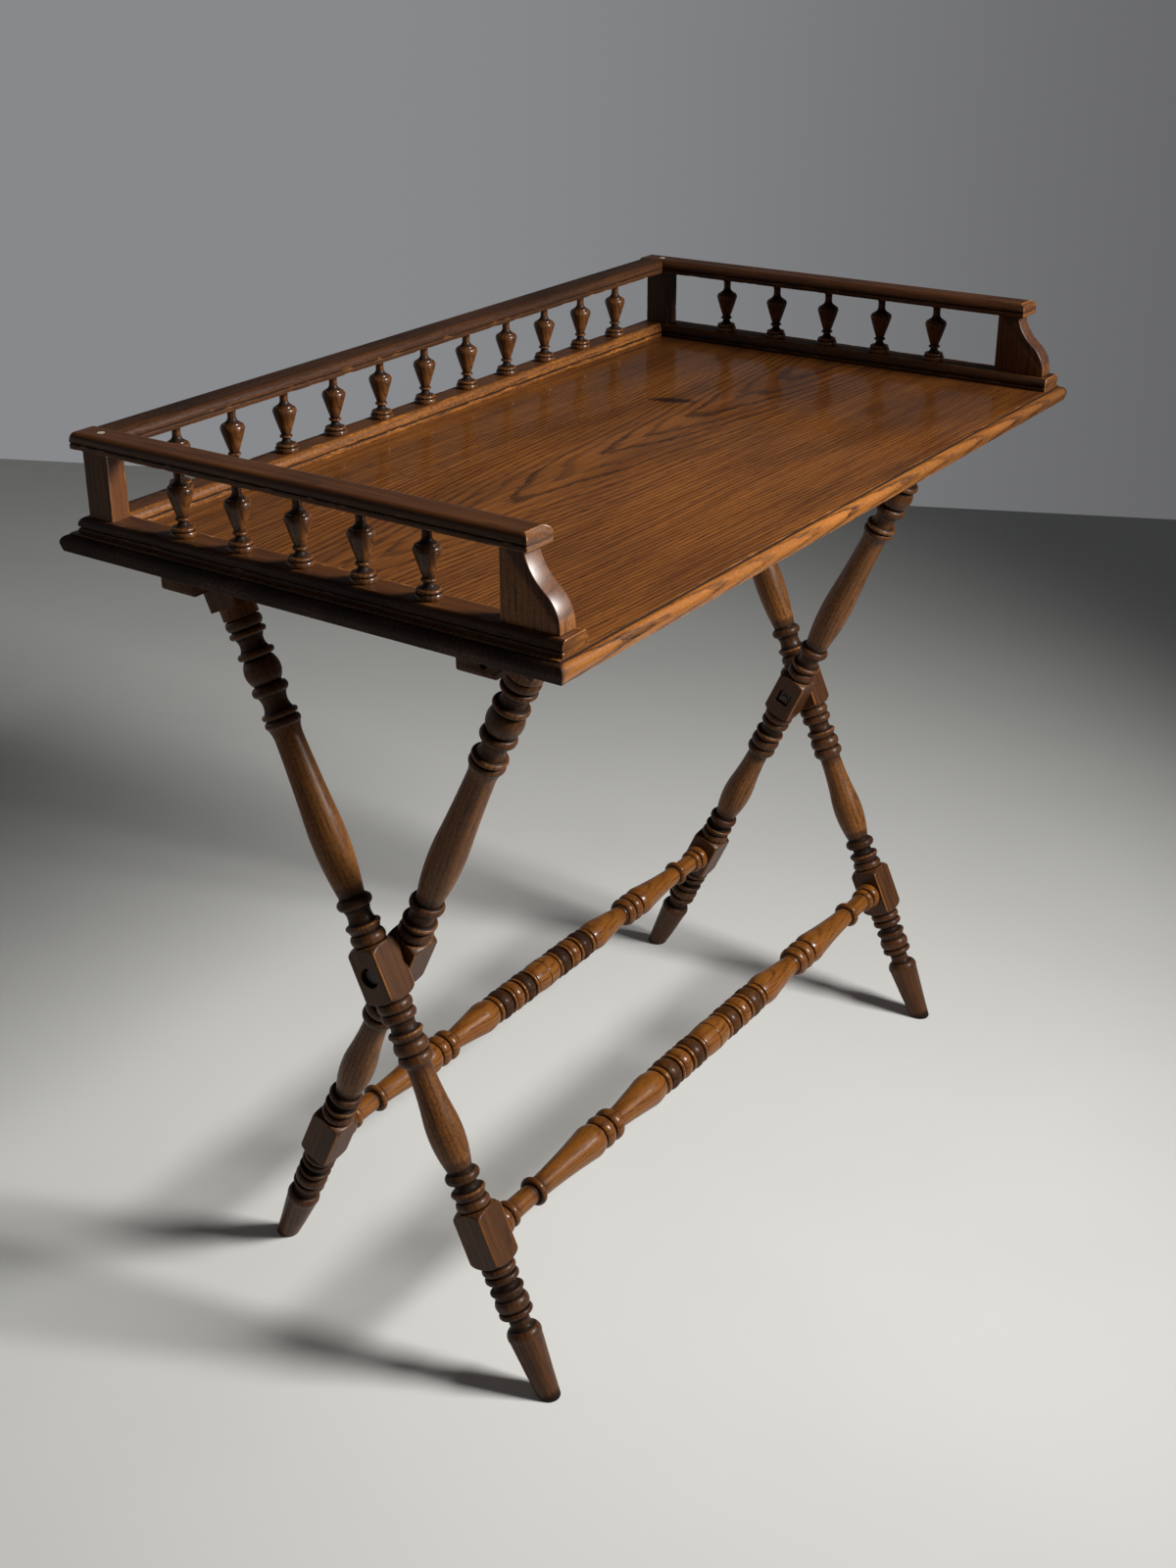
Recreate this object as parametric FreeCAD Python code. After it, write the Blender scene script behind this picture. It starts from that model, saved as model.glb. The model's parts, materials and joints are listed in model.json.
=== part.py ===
"""Butler's tray table: a galleried tray on a turned X stand that folds flat.

Millimetres, +Z up, +X along the long side, open front towards -Y.
The origin is on the floor under the tray's middle.
"""

import FreeCAD, Part
import math
import os

V = FreeCAD.Vector
X_AXIS = V(1, 0, 0)
Y_AXIS = V(0, 1, 0)
Z_AXIS = V(0, 0, 1)
ORIGIN = V(0, 0, 0)

# Fits shared by all pieces
cut_overrun = 4.0
glue_clearance = 0.05
pivot_clearance = 0.05
running_gap = 0.3
point_tolerance = 0.001

# Tray board with its moulded edge
tray_length = 852.0
tray_width = 482.0
tray_thickness = 15.0
tray_underside = 694.0
edge_step_inset = 6.5
edge_step_drop = 1.5
edge_ledge = 0.8
edge_nose_drop = 8.5
edge_under_inset = 1.8

# Gallery plinths and rails round three sides
side_gallery_inset = 25.5
back_gallery_inset = 27.5
plinth_height = 12.5
plinth_base_width = 30.0
plinth_waist_width = 27.5
plinth_top_width = 22.0
plinth_fillet = 3.6
plinth_quirk = 1.3
plinth_front_inset = 6.5
rail_width = 30.0
rail_thickness = 12.5
rail_top_width = 20.0
rail_waist_width = 28.0
rail_band = 4.0
rail_quirk = 1.2
rail_front_inset = 34.5
rail_end_round = 5.0

# Spindles, corner posts and front scrolls between plinth and rail
gallery_opening = 55.0
spindle_radius = 10.5
spindle_tenon_radius = 3.5
spindle_tenon_length = 6.0
side_spindle_count = 5
side_spindle_end_gap = 68.0
back_spindle_count = 11
back_spindle_end_gap = 73.7
post_thickness = 18.6
post_depth = 26.0
post_back_inset = 20.0
scroll_thickness = 18.6
scroll_base_depth = 49.4
scroll_top_depth = 21.0
scroll_front_inset = 12.6
scroll_lip = 3.0
peg_radius = 3.0
peg_grip = 20.0

# X stand of two leg frames
stand_offset = -9.6
foot_spread = 163.4
pivot_height = 362.0
stand_end_inset = 85.35
leg_side = 31.0
stretcher_station = 154.0
stretcher_block = 52.0
crossing_block_below = 25.0
crossing_block_above = 25.0
block_round = 11.0
top_block = 28.0

# Stretchers
stretcher_radius = 15.6
stretcher_tenon_radius = 8.0
stretcher_tenon_length = 18.0
mortise_spare = 1.0

# Pivot bolts through the crossing blocks
bolt_radius = 3.5
bolt_head_radius = 7.0
bolt_head_height = 5.0
bolt_recess_radius = 9.0
bolt_recess_depth = 9.0
nut_side = 11.5
nut_thickness = 6.0
nut_pocket_side = 14.5
nut_pocket_depth = 8.0
bolt_end_proud = 1.0

# Battens under the tray, with the pins that carry the inner legs
batten_end_inset = 31.0
batten_depth = 26.0
batten_width = 33.0
front_batten_lead = 9.0
back_batten_lead = 3.0
batten_end_round = 4.0
pin_radius = 3.0
pin_end_inset = 6.0
pin_seat = 12.0
screw_count = 3
screw_end_inset = 165.0
screw_radius = 2.5
screw_head_radius = 5.0
screw_head_height = 3.0
screw_bite = 8.0

# Turnings as rows of a length share, then radius shares: first, middle where the row is rounded, last
foot_shares = (
    (57, 0.64, 0.95), (9, 0.95, 0.98, 0.82), (5, 0.74, 0.63, 0.59), (4.5, 0.59, 0.59),
    (3, 0.60, 0.66, 0.82), (5, 0.88, 0.97, 0.88), (1, 0.76, 0.76), (11, 0.84, 0.98, 0.84),
    (1, 0.76, 0.76), (5, 0.80, 0.85, 0.94), (3, 0.94, 0.97, 0.88), (7, 0.76, 0.62, 0.74),
    (6, 0.86, 0.98, 0.88), (1.5, 0.78, 0.78), (7, 0.84, 0.98, 0.86), (2, 0.84, 0.84),
)
lower_shaft_shares = (
    (8.5, 0.84, 0.97, 0.84), (1, 0.76, 0.76), (5, 0.82, 0.86, 0.95), (3, 0.95, 0.98, 0.88),
    (8, 0.76, 0.63, 0.74), (8, 0.84, 0.98, 0.84), (2.5, 0.74, 0.70), (52, 0.70, 0.98, 0.90),
    (42, 0.90, 0.76, 0.70), (4, 0.70, 0.74, 0.84), (9, 0.86, 0.98, 0.86), (1, 0.78, 0.78),
    (11, 0.84, 0.98, 0.84), (1, 0.78, 0.78), (4.5, 0.82, 0.87, 0.96), (3, 0.96, 0.98, 0.88),
    (10, 0.78, 0.70, 0.78), (7.5, 0.86, 0.98, 0.86), (1, 0.78, 0.78), (9, 0.86, 0.98, 0.86),
    (1.2, 0.82, 0.82),
)
upper_shaft_shares = (
    (10, 0.82, 0.98, 0.84), (1, 0.78, 0.78), (4.5, 0.82, 0.88, 0.96), (3, 0.96, 0.98, 0.88),
    (14, 0.78, 0.67, 0.78), (8, 0.86, 0.98, 0.84), (2.3, 0.76, 0.72), (75, 0.72, 0.97, 0.92),
    (61, 0.92, 0.83, 0.77), (12.5, 0.77, 0.79, 0.90), (6, 0.90, 0.98, 0.90), (1.5, 0.80, 0.80),
    (4.5, 0.88, 0.98, 0.90), (15, 0.80, 0.67, 0.80), (8, 0.86, 0.98, 0.84), (1.5, 0.74, 0.74),
    (21, 0.76, 0.98, 0.76), (1, 0.72, 0.72), (5.5, 0.84, 0.98, 0.88), (12.5, 0.78, 0.65, 0.78),
    (5, 0.88, 0.98, 0.88), (1.5, 0.80, 0.80), (8.5, 0.86, 0.98, 0.88), (1, 0.80, 0.80),
    (10.1, 0.96, 0.96),
)
half_stretcher_shares = (
    (10, 0.76, 0.88, 0.74), (2, 0.62, 0.62), (8, 0.66, 0.80, 0.64), (30, 0.60, 0.58),
    (7, 0.62, 0.86, 0.62), (78, 0.60, 0.74, 0.99), (12, 0.99, 0.98, 0.86), (2, 0.74, 0.74),
    (13, 0.82, 0.99, 0.82), (2, 0.72, 0.72), (12, 0.82, 0.98, 0.80), (3, 0.70, 0.66),
    (52, 0.62, 0.79, 0.99), (17, 0.99, 0.97, 0.86), (2, 0.74, 0.74), (6, 0.80, 0.94, 0.80),
    (2, 0.76, 0.76), (15, 0.84, 0.99, 0.84), (1.5, 0.76, 0.76), (4, 0.84, 0.96, 0.84),
    (1.5, 0.76, 0.76), (13, 0.84, 0.99, 0.84), (1.5, 0.76, 0.76), (4, 0.84, 0.96, 0.84),
    (1.5, 0.76, 0.76), (14, 0.84, 0.99, 0.84), (1.5, 0.76, 0.76), (4.5, 0.84, 0.96, 0.86),
    (1, 0.78, 0.78), (19, 0.88, 0.97, 0.99), (1, 0.94, 0.94),
)
spindle_shares = (
    (4, 0.93, 1.00, 0.93), (0.6, 0.78, 0.78), (2.4, 0.84, 0.88, 0.78), (5, 0.64, 0.38, 0.33),
    (2, 0.44, 0.54, 0.44), (20, 0.36, 0.70, 1.00), (3.5, 1.00, 0.97, 0.84), (1, 0.72, 0.70),
    (4.5, 0.66, 0.42, 0.34), (6, 0.34, 0.34), (4, 0.36, 0.50, 0.72),
)
block_overshoot_share = 1.5
shoulder_share = 0.84
pommel_shares = (0.3, 0.7)
scroll_turn_shares = (0.55, 0.52)
scroll_hollow_shares = (0.20, 0.74)
scroll_belly_shares = (0.90, 0.26)

# Derived sizes and places
leg_half = leg_side / 2
lean = math.atan2(foot_spread, pivot_height)
pivot_station = pivot_height / math.cos(lean)
nose_height = tray_underside - leg_half - running_gap
nose_station = nose_height / math.cos(lean)
nose_reach = nose_height * math.tan(lean) - foot_spread
outer_leg_x = tray_length / 2 - stand_end_inset + (leg_side + running_gap) / 2
inner_leg_x = outer_leg_x - leg_side - running_gap
stretcher_height = stretcher_station * math.cos(lean)
stretcher_reach = foot_spread - stretcher_station * math.sin(lean)
tray_top = tray_underside + tray_thickness
plinth_top = tray_top + plinth_height
rail_bottom = plinth_top + gallery_opening
rail_top = rail_bottom + rail_thickness
side_line = tray_length / 2 - side_gallery_inset
back_line = tray_width / 2 - back_gallery_inset
front_edge = -tray_width / 2
post_back = tray_width / 2 - post_back_inset
post_front = post_back - post_depth
scroll_front = front_edge + scroll_front_inset
scroll_back = scroll_front + scroll_base_depth
hinge_y = stand_offset - nose_reach
rest_y = stand_offset + nose_reach
batten_half = tray_length / 2 - batten_end_inset


def face_from(start, *steps):
    """Flat face inside straight runs (a point) and arcs (a pair: a point on the way, then the end)."""
    edges = []
    here = start
    for step in (*steps, start):
        if isinstance(step, tuple):
            edges.append(Part.Arc(here, *step).toShape())
            here = step[-1]
        elif not here.isEqual(step, point_tolerance):
            edges.append(Part.LineSegment(here, step).toShape())
            here = step
    return Part.Face(Part.Wire(edges))


def turning_path(station, length, radius, shares):
    """Lathe outline of one turned length along Z, as steps for face_from."""
    total = sum(row[0] for row in shares)
    path = []
    for run, first, *middle, last in shares:
        end = station + length * run / total
        finish = V(radius * last, 0, end)
        path.append(V(radius * first, 0, station))
        if middle:
            path.append((V(radius * middle[0], 0, (station + end) / 2), finish))
        else:
            path.append(finish)
        station = end
    return path


def revolved(path, bottom, top):
    """Solid turned about Z by a path that starts at the bottom and ends at the top."""
    return face_from(V(0, 0, bottom), *path, V(0, 0, top)).revolve(ORIGIN, Z_AXIS, 360)


def x_rod(radius, start, end, y, z):
    """Round rod along X from start to end."""
    return Part.makeCylinder(radius, end - start, V(start, y, z), X_AXIS)


def z_rod(radius, start, end, x, y):
    """Round rod along Z from start to end."""
    return Part.makeCylinder(radius, end - start, V(x, y, start), Z_AXIS)


def box_between(low, high):
    """Box between two opposite corners."""
    size = high - low
    return Part.makeBox(size.x, size.y, size.z, low)


def mirrored(shape):
    """The left-hand twin of a right-hand piece."""
    return shape.mirror(ORIGIN, X_AXIS)


def board_profile(half_width, across):
    """Cross-section of the tray board across the given direction, with its stepped and rounded edge."""

    def at(inset, drop, side):
        return across * (side * (half_width - inset)) + V(0, 0, tray_top - drop)

    shoulder = edge_step_inset - edge_ledge
    bend = shoulder * (1 - math.sqrt(0.5))
    bend_drop = edge_nose_drop - (edge_nose_drop - edge_step_drop) * math.sqrt(0.5)
    return face_from(
        at(edge_under_inset, tray_thickness, -1),
        at(edge_under_inset, tray_thickness, 1),
        at(0, edge_nose_drop, 1),
        (at(bend, bend_drop, 1), at(shoulder, edge_step_drop, 1)),
        at(edge_step_inset, edge_step_drop, 1),
        at(edge_step_inset, 0, 1),
        at(edge_step_inset, 0, -1),
        at(edge_step_inset, edge_step_drop, -1),
        at(shoulder, edge_step_drop, -1),
        (at(bend, bend_drop, -1), at(0, edge_nose_drop, -1)),
    )


def tray_board():
    """Board whose moulded edge mitres round all four corners."""
    along = board_profile(tray_width / 2, Y_AXIS)
    along.translate(V(-tray_length, 0, 0))
    across = board_profile(tray_length / 2, X_AXIS)
    across.translate(V(0, -tray_width, 0))
    return along.extrude(X_AXIS * (tray_length * 2)).common(across.extrude(Y_AXIS * (tray_width * 2)))


def moulding_profile(across, foot, height, widths, band, quirk):
    """Section of a gallery moulding: square band, quirk, then a rounded edge up to a flat top."""
    base, waist, top = (width / 2 for width in widths)
    shoulder = band + quirk
    bend = math.sqrt(0.5)

    def at(reach, rise, side):
        return across * (side * reach) + V(0, 0, foot + rise)

    def rounded(side):
        return at(top + (base - top) * bend, shoulder + (height - shoulder) * bend, side)

    return face_from(
        at(base, 0, -1), at(base, 0, 1), at(base, band, 1), at(waist, band, 1), at(waist, shoulder, 1),
        at(base, shoulder, 1), (rounded(1), at(top, height, 1)), at(top, height, -1),
        (rounded(-1), at(base, shoulder, -1)), at(waist, shoulder, -1), at(waist, band, -1),
        at(base, band, -1),
    )


def plinth_profile(across):
    """Section of the plinth that carries the spindles."""
    widths = (plinth_base_width, plinth_waist_width, plinth_top_width)
    return moulding_profile(across, tray_top, plinth_height, widths, plinth_fillet, plinth_quirk)


def rail_profile(across):
    """Section of the top rail."""
    widths = (rail_width, rail_waist_width, rail_top_width)
    return moulding_profile(across, rail_bottom, rail_thickness, widths, rail_band, rail_quirk)


def corner_wedge(sign):
    """Ground beyond the right-hand corner's mitre, on the back's side (1) or on the side's (-1)."""
    reach = plinth_base_width
    corner = V(side_line, back_line, tray_top - cut_overrun)
    outer = V(side_line + reach, back_line + reach, corner.z)
    inner = V(side_line - reach, back_line - reach, corner.z)
    far = corner + V(-sign * reach, sign * reach, 0) * 2
    return face_from(inner, outer, far).extrude(Z_AXIS * (plinth_height + cut_overrun * 2))


def spindle_bores(places, foot, top):
    """Drillings for spindle tenons, as one cutter."""
    radius = spindle_tenon_radius + glue_clearance
    return Part.makeCompound([z_rod(radius, foot, top, x, y) for x, y in places])


def spaced(first, last, count):
    """Evenly spaced places from the first to the last."""
    pitch = (last - first) / (count - 1)
    return [first + pitch * index for index in range(count)]


def side_places():
    """Middles of the right-hand side's spindles, from front to back."""
    first = scroll_back + side_spindle_end_gap
    last = post_front - side_spindle_end_gap
    return [(side_line, y) for y in spaced(first, last, side_spindle_count)]


def back_places():
    """Middles of the back's spindles, from left to right."""
    last = side_line - post_thickness / 2 - back_spindle_end_gap
    return [(x, back_line) for x in spaced(-last, last, back_spindle_count)]


def side_plinth():
    """Right-hand plinth, square at the front and mitred at the back."""
    profile = plinth_profile(X_AXIS)
    profile.translate(V(side_line, front_edge + plinth_front_inset, 0))
    length = back_line + plinth_base_width / 2 - front_edge - plinth_front_inset
    bores = spindle_bores(side_places(), plinth_top - spindle_tenon_length, plinth_top + cut_overrun)
    return profile.extrude(Y_AXIS * length).cut(corner_wedge(1)).cut(bores)


def back_plinth():
    """Back plinth, mitred at both ends."""
    profile = plinth_profile(Y_AXIS)
    reach = side_line + plinth_base_width / 2
    profile.translate(V(-reach, back_line, 0))
    wedge = corner_wedge(-1)
    bores = spindle_bores(back_places(), plinth_top - spindle_tenon_length, plinth_top + cut_overrun)
    return profile.extrude(X_AXIS * (reach * 2)).cut(wedge).cut(mirrored(wedge)).cut(bores)


def rail_end_cutter():
    """Waste above the rounded-over front end of a side rail."""
    front = front_edge + rail_front_inset
    middle = rail_end_round * (1 - math.sqrt(0.5))
    half = rail_width / 2 + cut_overrun
    start = side_line - half
    face = face_from(
        V(start, front, rail_top - rail_end_round),
        (V(start, front + middle, rail_top - middle), V(start, front + rail_end_round, rail_top)),
        V(start, front + rail_end_round, rail_top + cut_overrun),
        V(start, front - cut_overrun, rail_top + cut_overrun),
        V(start, front - cut_overrun, rail_top - rail_end_round),
    )
    return face.extrude(X_AXIS * (half * 2))


def whole_side_rail():
    """Right-hand rail from its rounded front end to the back corner, before drilling."""
    profile = rail_profile(X_AXIS)
    front = front_edge + rail_front_inset
    profile.translate(V(side_line, front, 0))
    return profile.extrude(Y_AXIS * (back_line + rail_width / 2 - front)).cut(rail_end_cutter())


def side_rail():
    """Right-hand rail drilled for its spindles and its corner peg."""
    bores = spindle_bores(side_places(), rail_bottom - cut_overrun, rail_bottom + spindle_tenon_length)
    return whole_side_rail().cut(bores).cut(peg_bore())


def back_rail():
    """Back rail, scribed to the side rails that it meets."""
    profile = rail_profile(Y_AXIS)
    profile.translate(V(-side_line, back_line, 0))
    side = whole_side_rail()
    bores = spindle_bores(back_places(), rail_bottom - cut_overrun, rail_bottom + spindle_tenon_length)
    return profile.extrude(X_AXIS * (side_line * 2)).cut(side).cut(mirrored(side)).cut(bores)


def peg_place():
    """Middle of the peg that pins rail to post."""
    return side_line, (post_back + post_front) / 2


def peg_bore():
    """Drilling for the corner peg, through the rail into the post."""
    radius = peg_radius + glue_clearance
    return z_rod(radius, rail_bottom - peg_grip, rail_top + cut_overrun, *peg_place())


def corner_peg():
    """Peg flush with the rail's top."""
    return z_rod(peg_radius, rail_bottom - peg_grip, rail_top, *peg_place())


def corner_post():
    """Right-hand back post between plinth and rail."""
    half = post_thickness / 2
    low = V(side_line - half, post_front, plinth_top)
    high = V(side_line + half, post_back, rail_bottom)
    return box_between(low, high).cut(peg_bore())


def front_scroll():
    """Right-hand scroll bracket: hollow above, bellied below."""
    x = side_line - scroll_thickness / 2
    run = scroll_base_depth - scroll_top_depth
    top = rail_bottom - scroll_lip
    base = plinth_top + scroll_lip

    def on_curve(shares):
        return V(x, scroll_front + run * (1 - shares[0]), base + (top - base) * shares[1])

    face = face_from(
        V(x, scroll_back, plinth_top),
        V(x, scroll_back, rail_bottom),
        V(x, scroll_front + run, rail_bottom),
        V(x, scroll_front + run, top),
        (on_curve(scroll_hollow_shares), on_curve(scroll_turn_shares)),
        (on_curve(scroll_belly_shares), V(x, scroll_front, base)),
        V(x, scroll_front, plinth_top),
    )
    return face.extrude(X_AXIS * scroll_thickness)


def spindle(place):
    """Turned baluster with a tenon at each end."""
    tenon = spindle_tenon_radius
    foot = plinth_top - spindle_tenon_length
    head = rail_bottom + spindle_tenon_length
    turned = turning_path(plinth_top, gallery_opening, spindle_radius, spindle_shares)
    below = [V(tenon, 0, foot), V(tenon, 0, plinth_top)]
    above = [V(tenon, 0, rail_bottom), V(tenon, 0, head)]
    baluster = revolved(below + turned + above, foot, head)
    baluster.translate(V(*place, 0))
    return baluster


def block_path(start, end):
    """Lathe outline past a square block: clear of its corners, with a rounded pommel at each end."""
    root = leg_half * shoulder_share
    clear = leg_half * block_overshoot_share
    along, out = pommel_shares
    bend = root + (clear - root) * out
    return [
        V(root, 0, start),
        (V(bend, 0, start + block_round * along), V(clear, 0, start + block_round)),
        V(clear, 0, end - block_round),
        (V(bend, 0, end - block_round * along), V(root, 0, end)),
    ]


def leg_path():
    """Lathe outline of a leg from below the floor line to beyond its nose."""
    spare = leg_side * math.tan(lean)
    foot_end = stretcher_station - stretcher_block / 2
    block_end = stretcher_station + stretcher_block / 2
    crossing_start = pivot_station - crossing_block_below
    crossing_end = pivot_station + crossing_block_above
    head_start = nose_station - top_block
    clear = leg_half * block_overshoot_share
    foot = turning_path(0, foot_end, leg_half, foot_shares)
    return [
        V(foot[0].x, 0, -spare),
        *foot,
        *block_path(foot_end, block_end),
        *turning_path(block_end, crossing_start - block_end, leg_half, lower_shaft_shares),
        *block_path(crossing_start, crossing_end),
        *turning_path(crossing_end, head_start - crossing_end, leg_half, upper_shaft_shares),
        V(clear, 0, head_start),
        V(clear, 0, nose_station + leg_side),
    ]


def leg_blank():
    """Square stock with a full-round nose at the top."""
    spare = leg_side * math.tan(lean)
    face = face_from(
        V(-leg_half, -leg_half, -spare),
        V(-leg_half, leg_half, -spare),
        V(-leg_half, leg_half, nose_station),
        (V(-leg_half, 0, nose_station + leg_half), V(-leg_half, -leg_half, nose_station)),
    )
    return face.extrude(X_AXIS * leg_side)


def upright_leg():
    """Leg on its own axis: square blocks left where the lathe stays clear of the blank."""
    spare = leg_side * math.tan(lean)
    return leg_blank().common(revolved(leg_path(), -spare, nose_station + leg_side))


def leaning_leg(x, side):
    """Leg cut at the floor, leaning back from a front foot (-1) or forward from a back foot (1)."""
    leg = upright_leg()
    leg.rotate(ORIGIN, X_AXIS, side * math.degrees(lean))
    leg.translate(V(x, stand_offset + side * foot_spread, 0))
    reach = leg_side + cut_overrun
    foot_y = stand_offset + side * foot_spread
    ground = box_between(V(x - reach, foot_y - reach, -reach), V(x + reach, foot_y + reach, 0))
    return leg.cut(ground)


def stretcher_mortise(face_x, side):
    """Bore for a stretcher's tenon, from a leg's inner face outwards."""
    depth = stretcher_tenon_length + mortise_spare
    radius = stretcher_tenon_radius + glue_clearance
    y = stand_offset + side * stretcher_reach
    return x_rod(radius, face_x - cut_overrun, face_x + depth, y, stretcher_height)


def outer_leg():
    """Right-hand leg of the outer frame, with the bolt's bore and recess."""
    inner_face = outer_leg_x - leg_half
    outer_face = outer_leg_x + leg_half
    ends = (inner_face - cut_overrun, outer_face + cut_overrun)
    bore = x_rod(bolt_radius + pivot_clearance, *ends, stand_offset, pivot_height)
    recess_floor = outer_face - bolt_recess_depth
    recess = x_rod(bolt_recess_radius, recess_floor, ends[1], stand_offset, pivot_height)
    return leaning_leg(outer_leg_x, -1).cut(stretcher_mortise(inner_face, -1)).cut(bore).cut(recess)


def inner_leg():
    """Right-hand leg of the inner frame, with the nut's pocket and the tilt pin's bore."""
    inner_face = inner_leg_x - leg_half
    ends = (inner_face - cut_overrun, inner_leg_x + leg_half + cut_overrun)
    bore = x_rod(bolt_radius + glue_clearance, *ends, stand_offset, pivot_height)
    pin = x_rod(pin_radius + pivot_clearance, *ends, hinge_y, nose_height)
    pocket = leaning_square(nut_pocket_side, ends[0], inner_face + nut_pocket_depth)
    leg = leaning_leg(inner_leg_x, 1).cut(stretcher_mortise(inner_face, 1))
    return leg.cut(bore).cut(pin).cut(pocket)


def leaning_square(side, start, end):
    """Square bar along X about the pivot, turned to line up with the inner leg."""
    half = side / 2
    bar = box_between(V(start, -half, -half), V(end, half, half))
    bar.rotate(ORIGIN, X_AXIS, math.degrees(lean))
    bar.translate(V(0, stand_offset, pivot_height))
    return bar


def stretcher(half_length, side):
    """Turned rail between two legs, tenoned into both; its halves mirror each other."""
    backwards = half_stretcher_shares[::-1]
    other_half = tuple((run, last, *middle, first) for run, first, *middle, last in backwards)
    shares = half_stretcher_shares + other_half
    tenon = stretcher_tenon_radius
    end = half_length + stretcher_tenon_length
    turned = turning_path(-half_length, half_length * 2, stretcher_radius, shares)
    before = [V(tenon, 0, -end), V(tenon, 0, -half_length)]
    after = [V(tenon, 0, half_length), V(tenon, 0, end)]
    rail = revolved(before + turned + after, -end, end)
    rail.rotate(ORIGIN, Y_AXIS, 90)
    rail.translate(V(0, stand_offset + side * stretcher_reach, stretcher_height))
    return rail


def pivot_bolt():
    """Right-hand bolt: round head in the outer leg's recess, end just proud of the nut."""
    seat = outer_leg_x + leg_half - bolt_recess_depth + running_gap
    nut_seat = inner_leg_x - leg_half + nut_pocket_depth
    end = nut_seat - nut_thickness - bolt_end_proud
    shank = x_rod(bolt_radius, end, seat, stand_offset, pivot_height)
    return shank.fuse(x_rod(bolt_head_radius, seat, seat + bolt_head_height, stand_offset, pivot_height))


def pivot_nut():
    """Right-hand square nut, seated in the inner leg's pocket."""
    seat = inner_leg_x - leg_half + nut_pocket_depth
    start = seat - nut_thickness
    bore = x_rod(bolt_radius + glue_clearance, start - cut_overrun, seat, stand_offset, pivot_height)
    return leaning_square(nut_side, start, seat).cut(bore)


def batten_blank(front):
    """Batten from its front face back, with the lower corner of each end rounded."""
    low = tray_underside - batten_depth
    bend = batten_end_round * (1 - math.sqrt(0.5))

    def rounded(side):
        return V(side * (batten_half - bend), front, low + bend)

    face = face_from(
        V(batten_half, front, tray_underside),
        V(-batten_half, front, tray_underside),
        V(-batten_half, front, low + batten_end_round),
        (rounded(-1), V(batten_end_round - batten_half, front, low)),
        V(batten_half - batten_end_round, front, low),
        (rounded(1), V(batten_half, front, low + batten_end_round)),
    )
    return face.extrude(Y_AXIS * batten_width)


def hinge_notch():
    """Right-hand notch round an inner leg's nose, open in front and below; its back wall leans too."""
    room = leg_half + running_gap
    start = inner_leg_x - room
    front = hinge_y - front_batten_lead - cut_overrun
    foot = tray_underside - batten_depth - cut_overrun
    back = hinge_y + room / math.cos(lean)
    slope = math.tan(lean)
    face = face_from(
        V(start, front, foot),
        V(start, front, tray_underside),
        V(start, back - (tray_underside - nose_height) * slope, tray_underside),
        V(start, back + (nose_height - foot) * slope, foot),
    )
    return face.extrude(X_AXIS * (room * 2))


def rest_notch():
    """Right-hand notch that stops an outer leg's nose, open to the front and below."""
    room = leg_half + running_gap
    front = rest_y - back_batten_lead - cut_overrun
    foot = tray_underside - batten_depth - cut_overrun
    low = V(outer_leg_x - room, front, foot)
    return box_between(low, V(outer_leg_x + room, rest_y + room, tray_underside))


def pin_ends():
    """Ends of the right-hand tilt pin: inside the batten's middle and just short of its end."""
    return inner_leg_x - leg_half - running_gap - pin_seat, batten_half - pin_end_inset


def tilt_pin():
    """Steel pin through the front batten and an inner leg's nose."""
    return x_rod(pin_radius, *pin_ends(), hinge_y, nose_height)


def screw_places(middle):
    """Middles of a batten's screws."""
    last = batten_half - screw_end_inset
    return [(x, middle) for x in spaced(-last, last, screw_count)]


def screws(middle, spare):
    """Countersunk screws up through a batten into the board, larger all round by the spare."""
    low = tray_underside - batten_depth
    solids = []
    for x, y in screw_places(middle):
        shank = z_rod(screw_radius + spare, low, tray_underside + screw_bite, x, y)
        radii = (screw_head_radius + spare, screw_radius + spare)
        head = Part.makeCone(*radii, screw_head_height, V(x, y, low), Z_AXIS)
        solids.append(shank.fuse(head).removeSplitter())
    return Part.makeCompound(solids)


def drilled_board():
    """Tray board with the holes of the batten screws."""
    middle = batten_width / 2
    front = screws(hinge_y - front_batten_lead + middle, glue_clearance)
    back = screws(rest_y - back_batten_lead + middle, glue_clearance)
    return tray_board().cut(front).cut(back)


def front_batten():
    """Front batten with the hinge notches and the bores of the tilt pins."""
    front = hinge_y - front_batten_lead
    start, _ = pin_ends()
    end = batten_half + cut_overrun
    bore = x_rod(pin_radius + glue_clearance, start, end, hinge_y, nose_height)
    batten = batten_blank(front).cut(screws(front + batten_width / 2, glue_clearance))
    for cutter in (hinge_notch(), bore):
        batten = batten.cut(cutter).cut(mirrored(cutter))
    return batten


def back_batten():
    """Back batten with the notches that stop the outer legs."""
    front = rest_y - back_batten_lead
    batten = batten_blank(front).cut(screws(front + batten_width / 2, glue_clearance))
    return batten.cut(rest_notch()).cut(mirrored(rest_notch()))


def batten_screws():
    """All the screws that hold the battens."""
    middle = batten_width / 2
    front = screws(hinge_y - front_batten_lead + middle, 0)
    back = screws(rest_y - back_batten_lead + middle, 0)
    return Part.makeCompound(front.Solids + back.Solids)


def handed(name, piece):
    """A right-hand piece and its left-hand twin as two nodes."""
    return {name + "_right": piece, name + "_left": mirrored(piece)}


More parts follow.
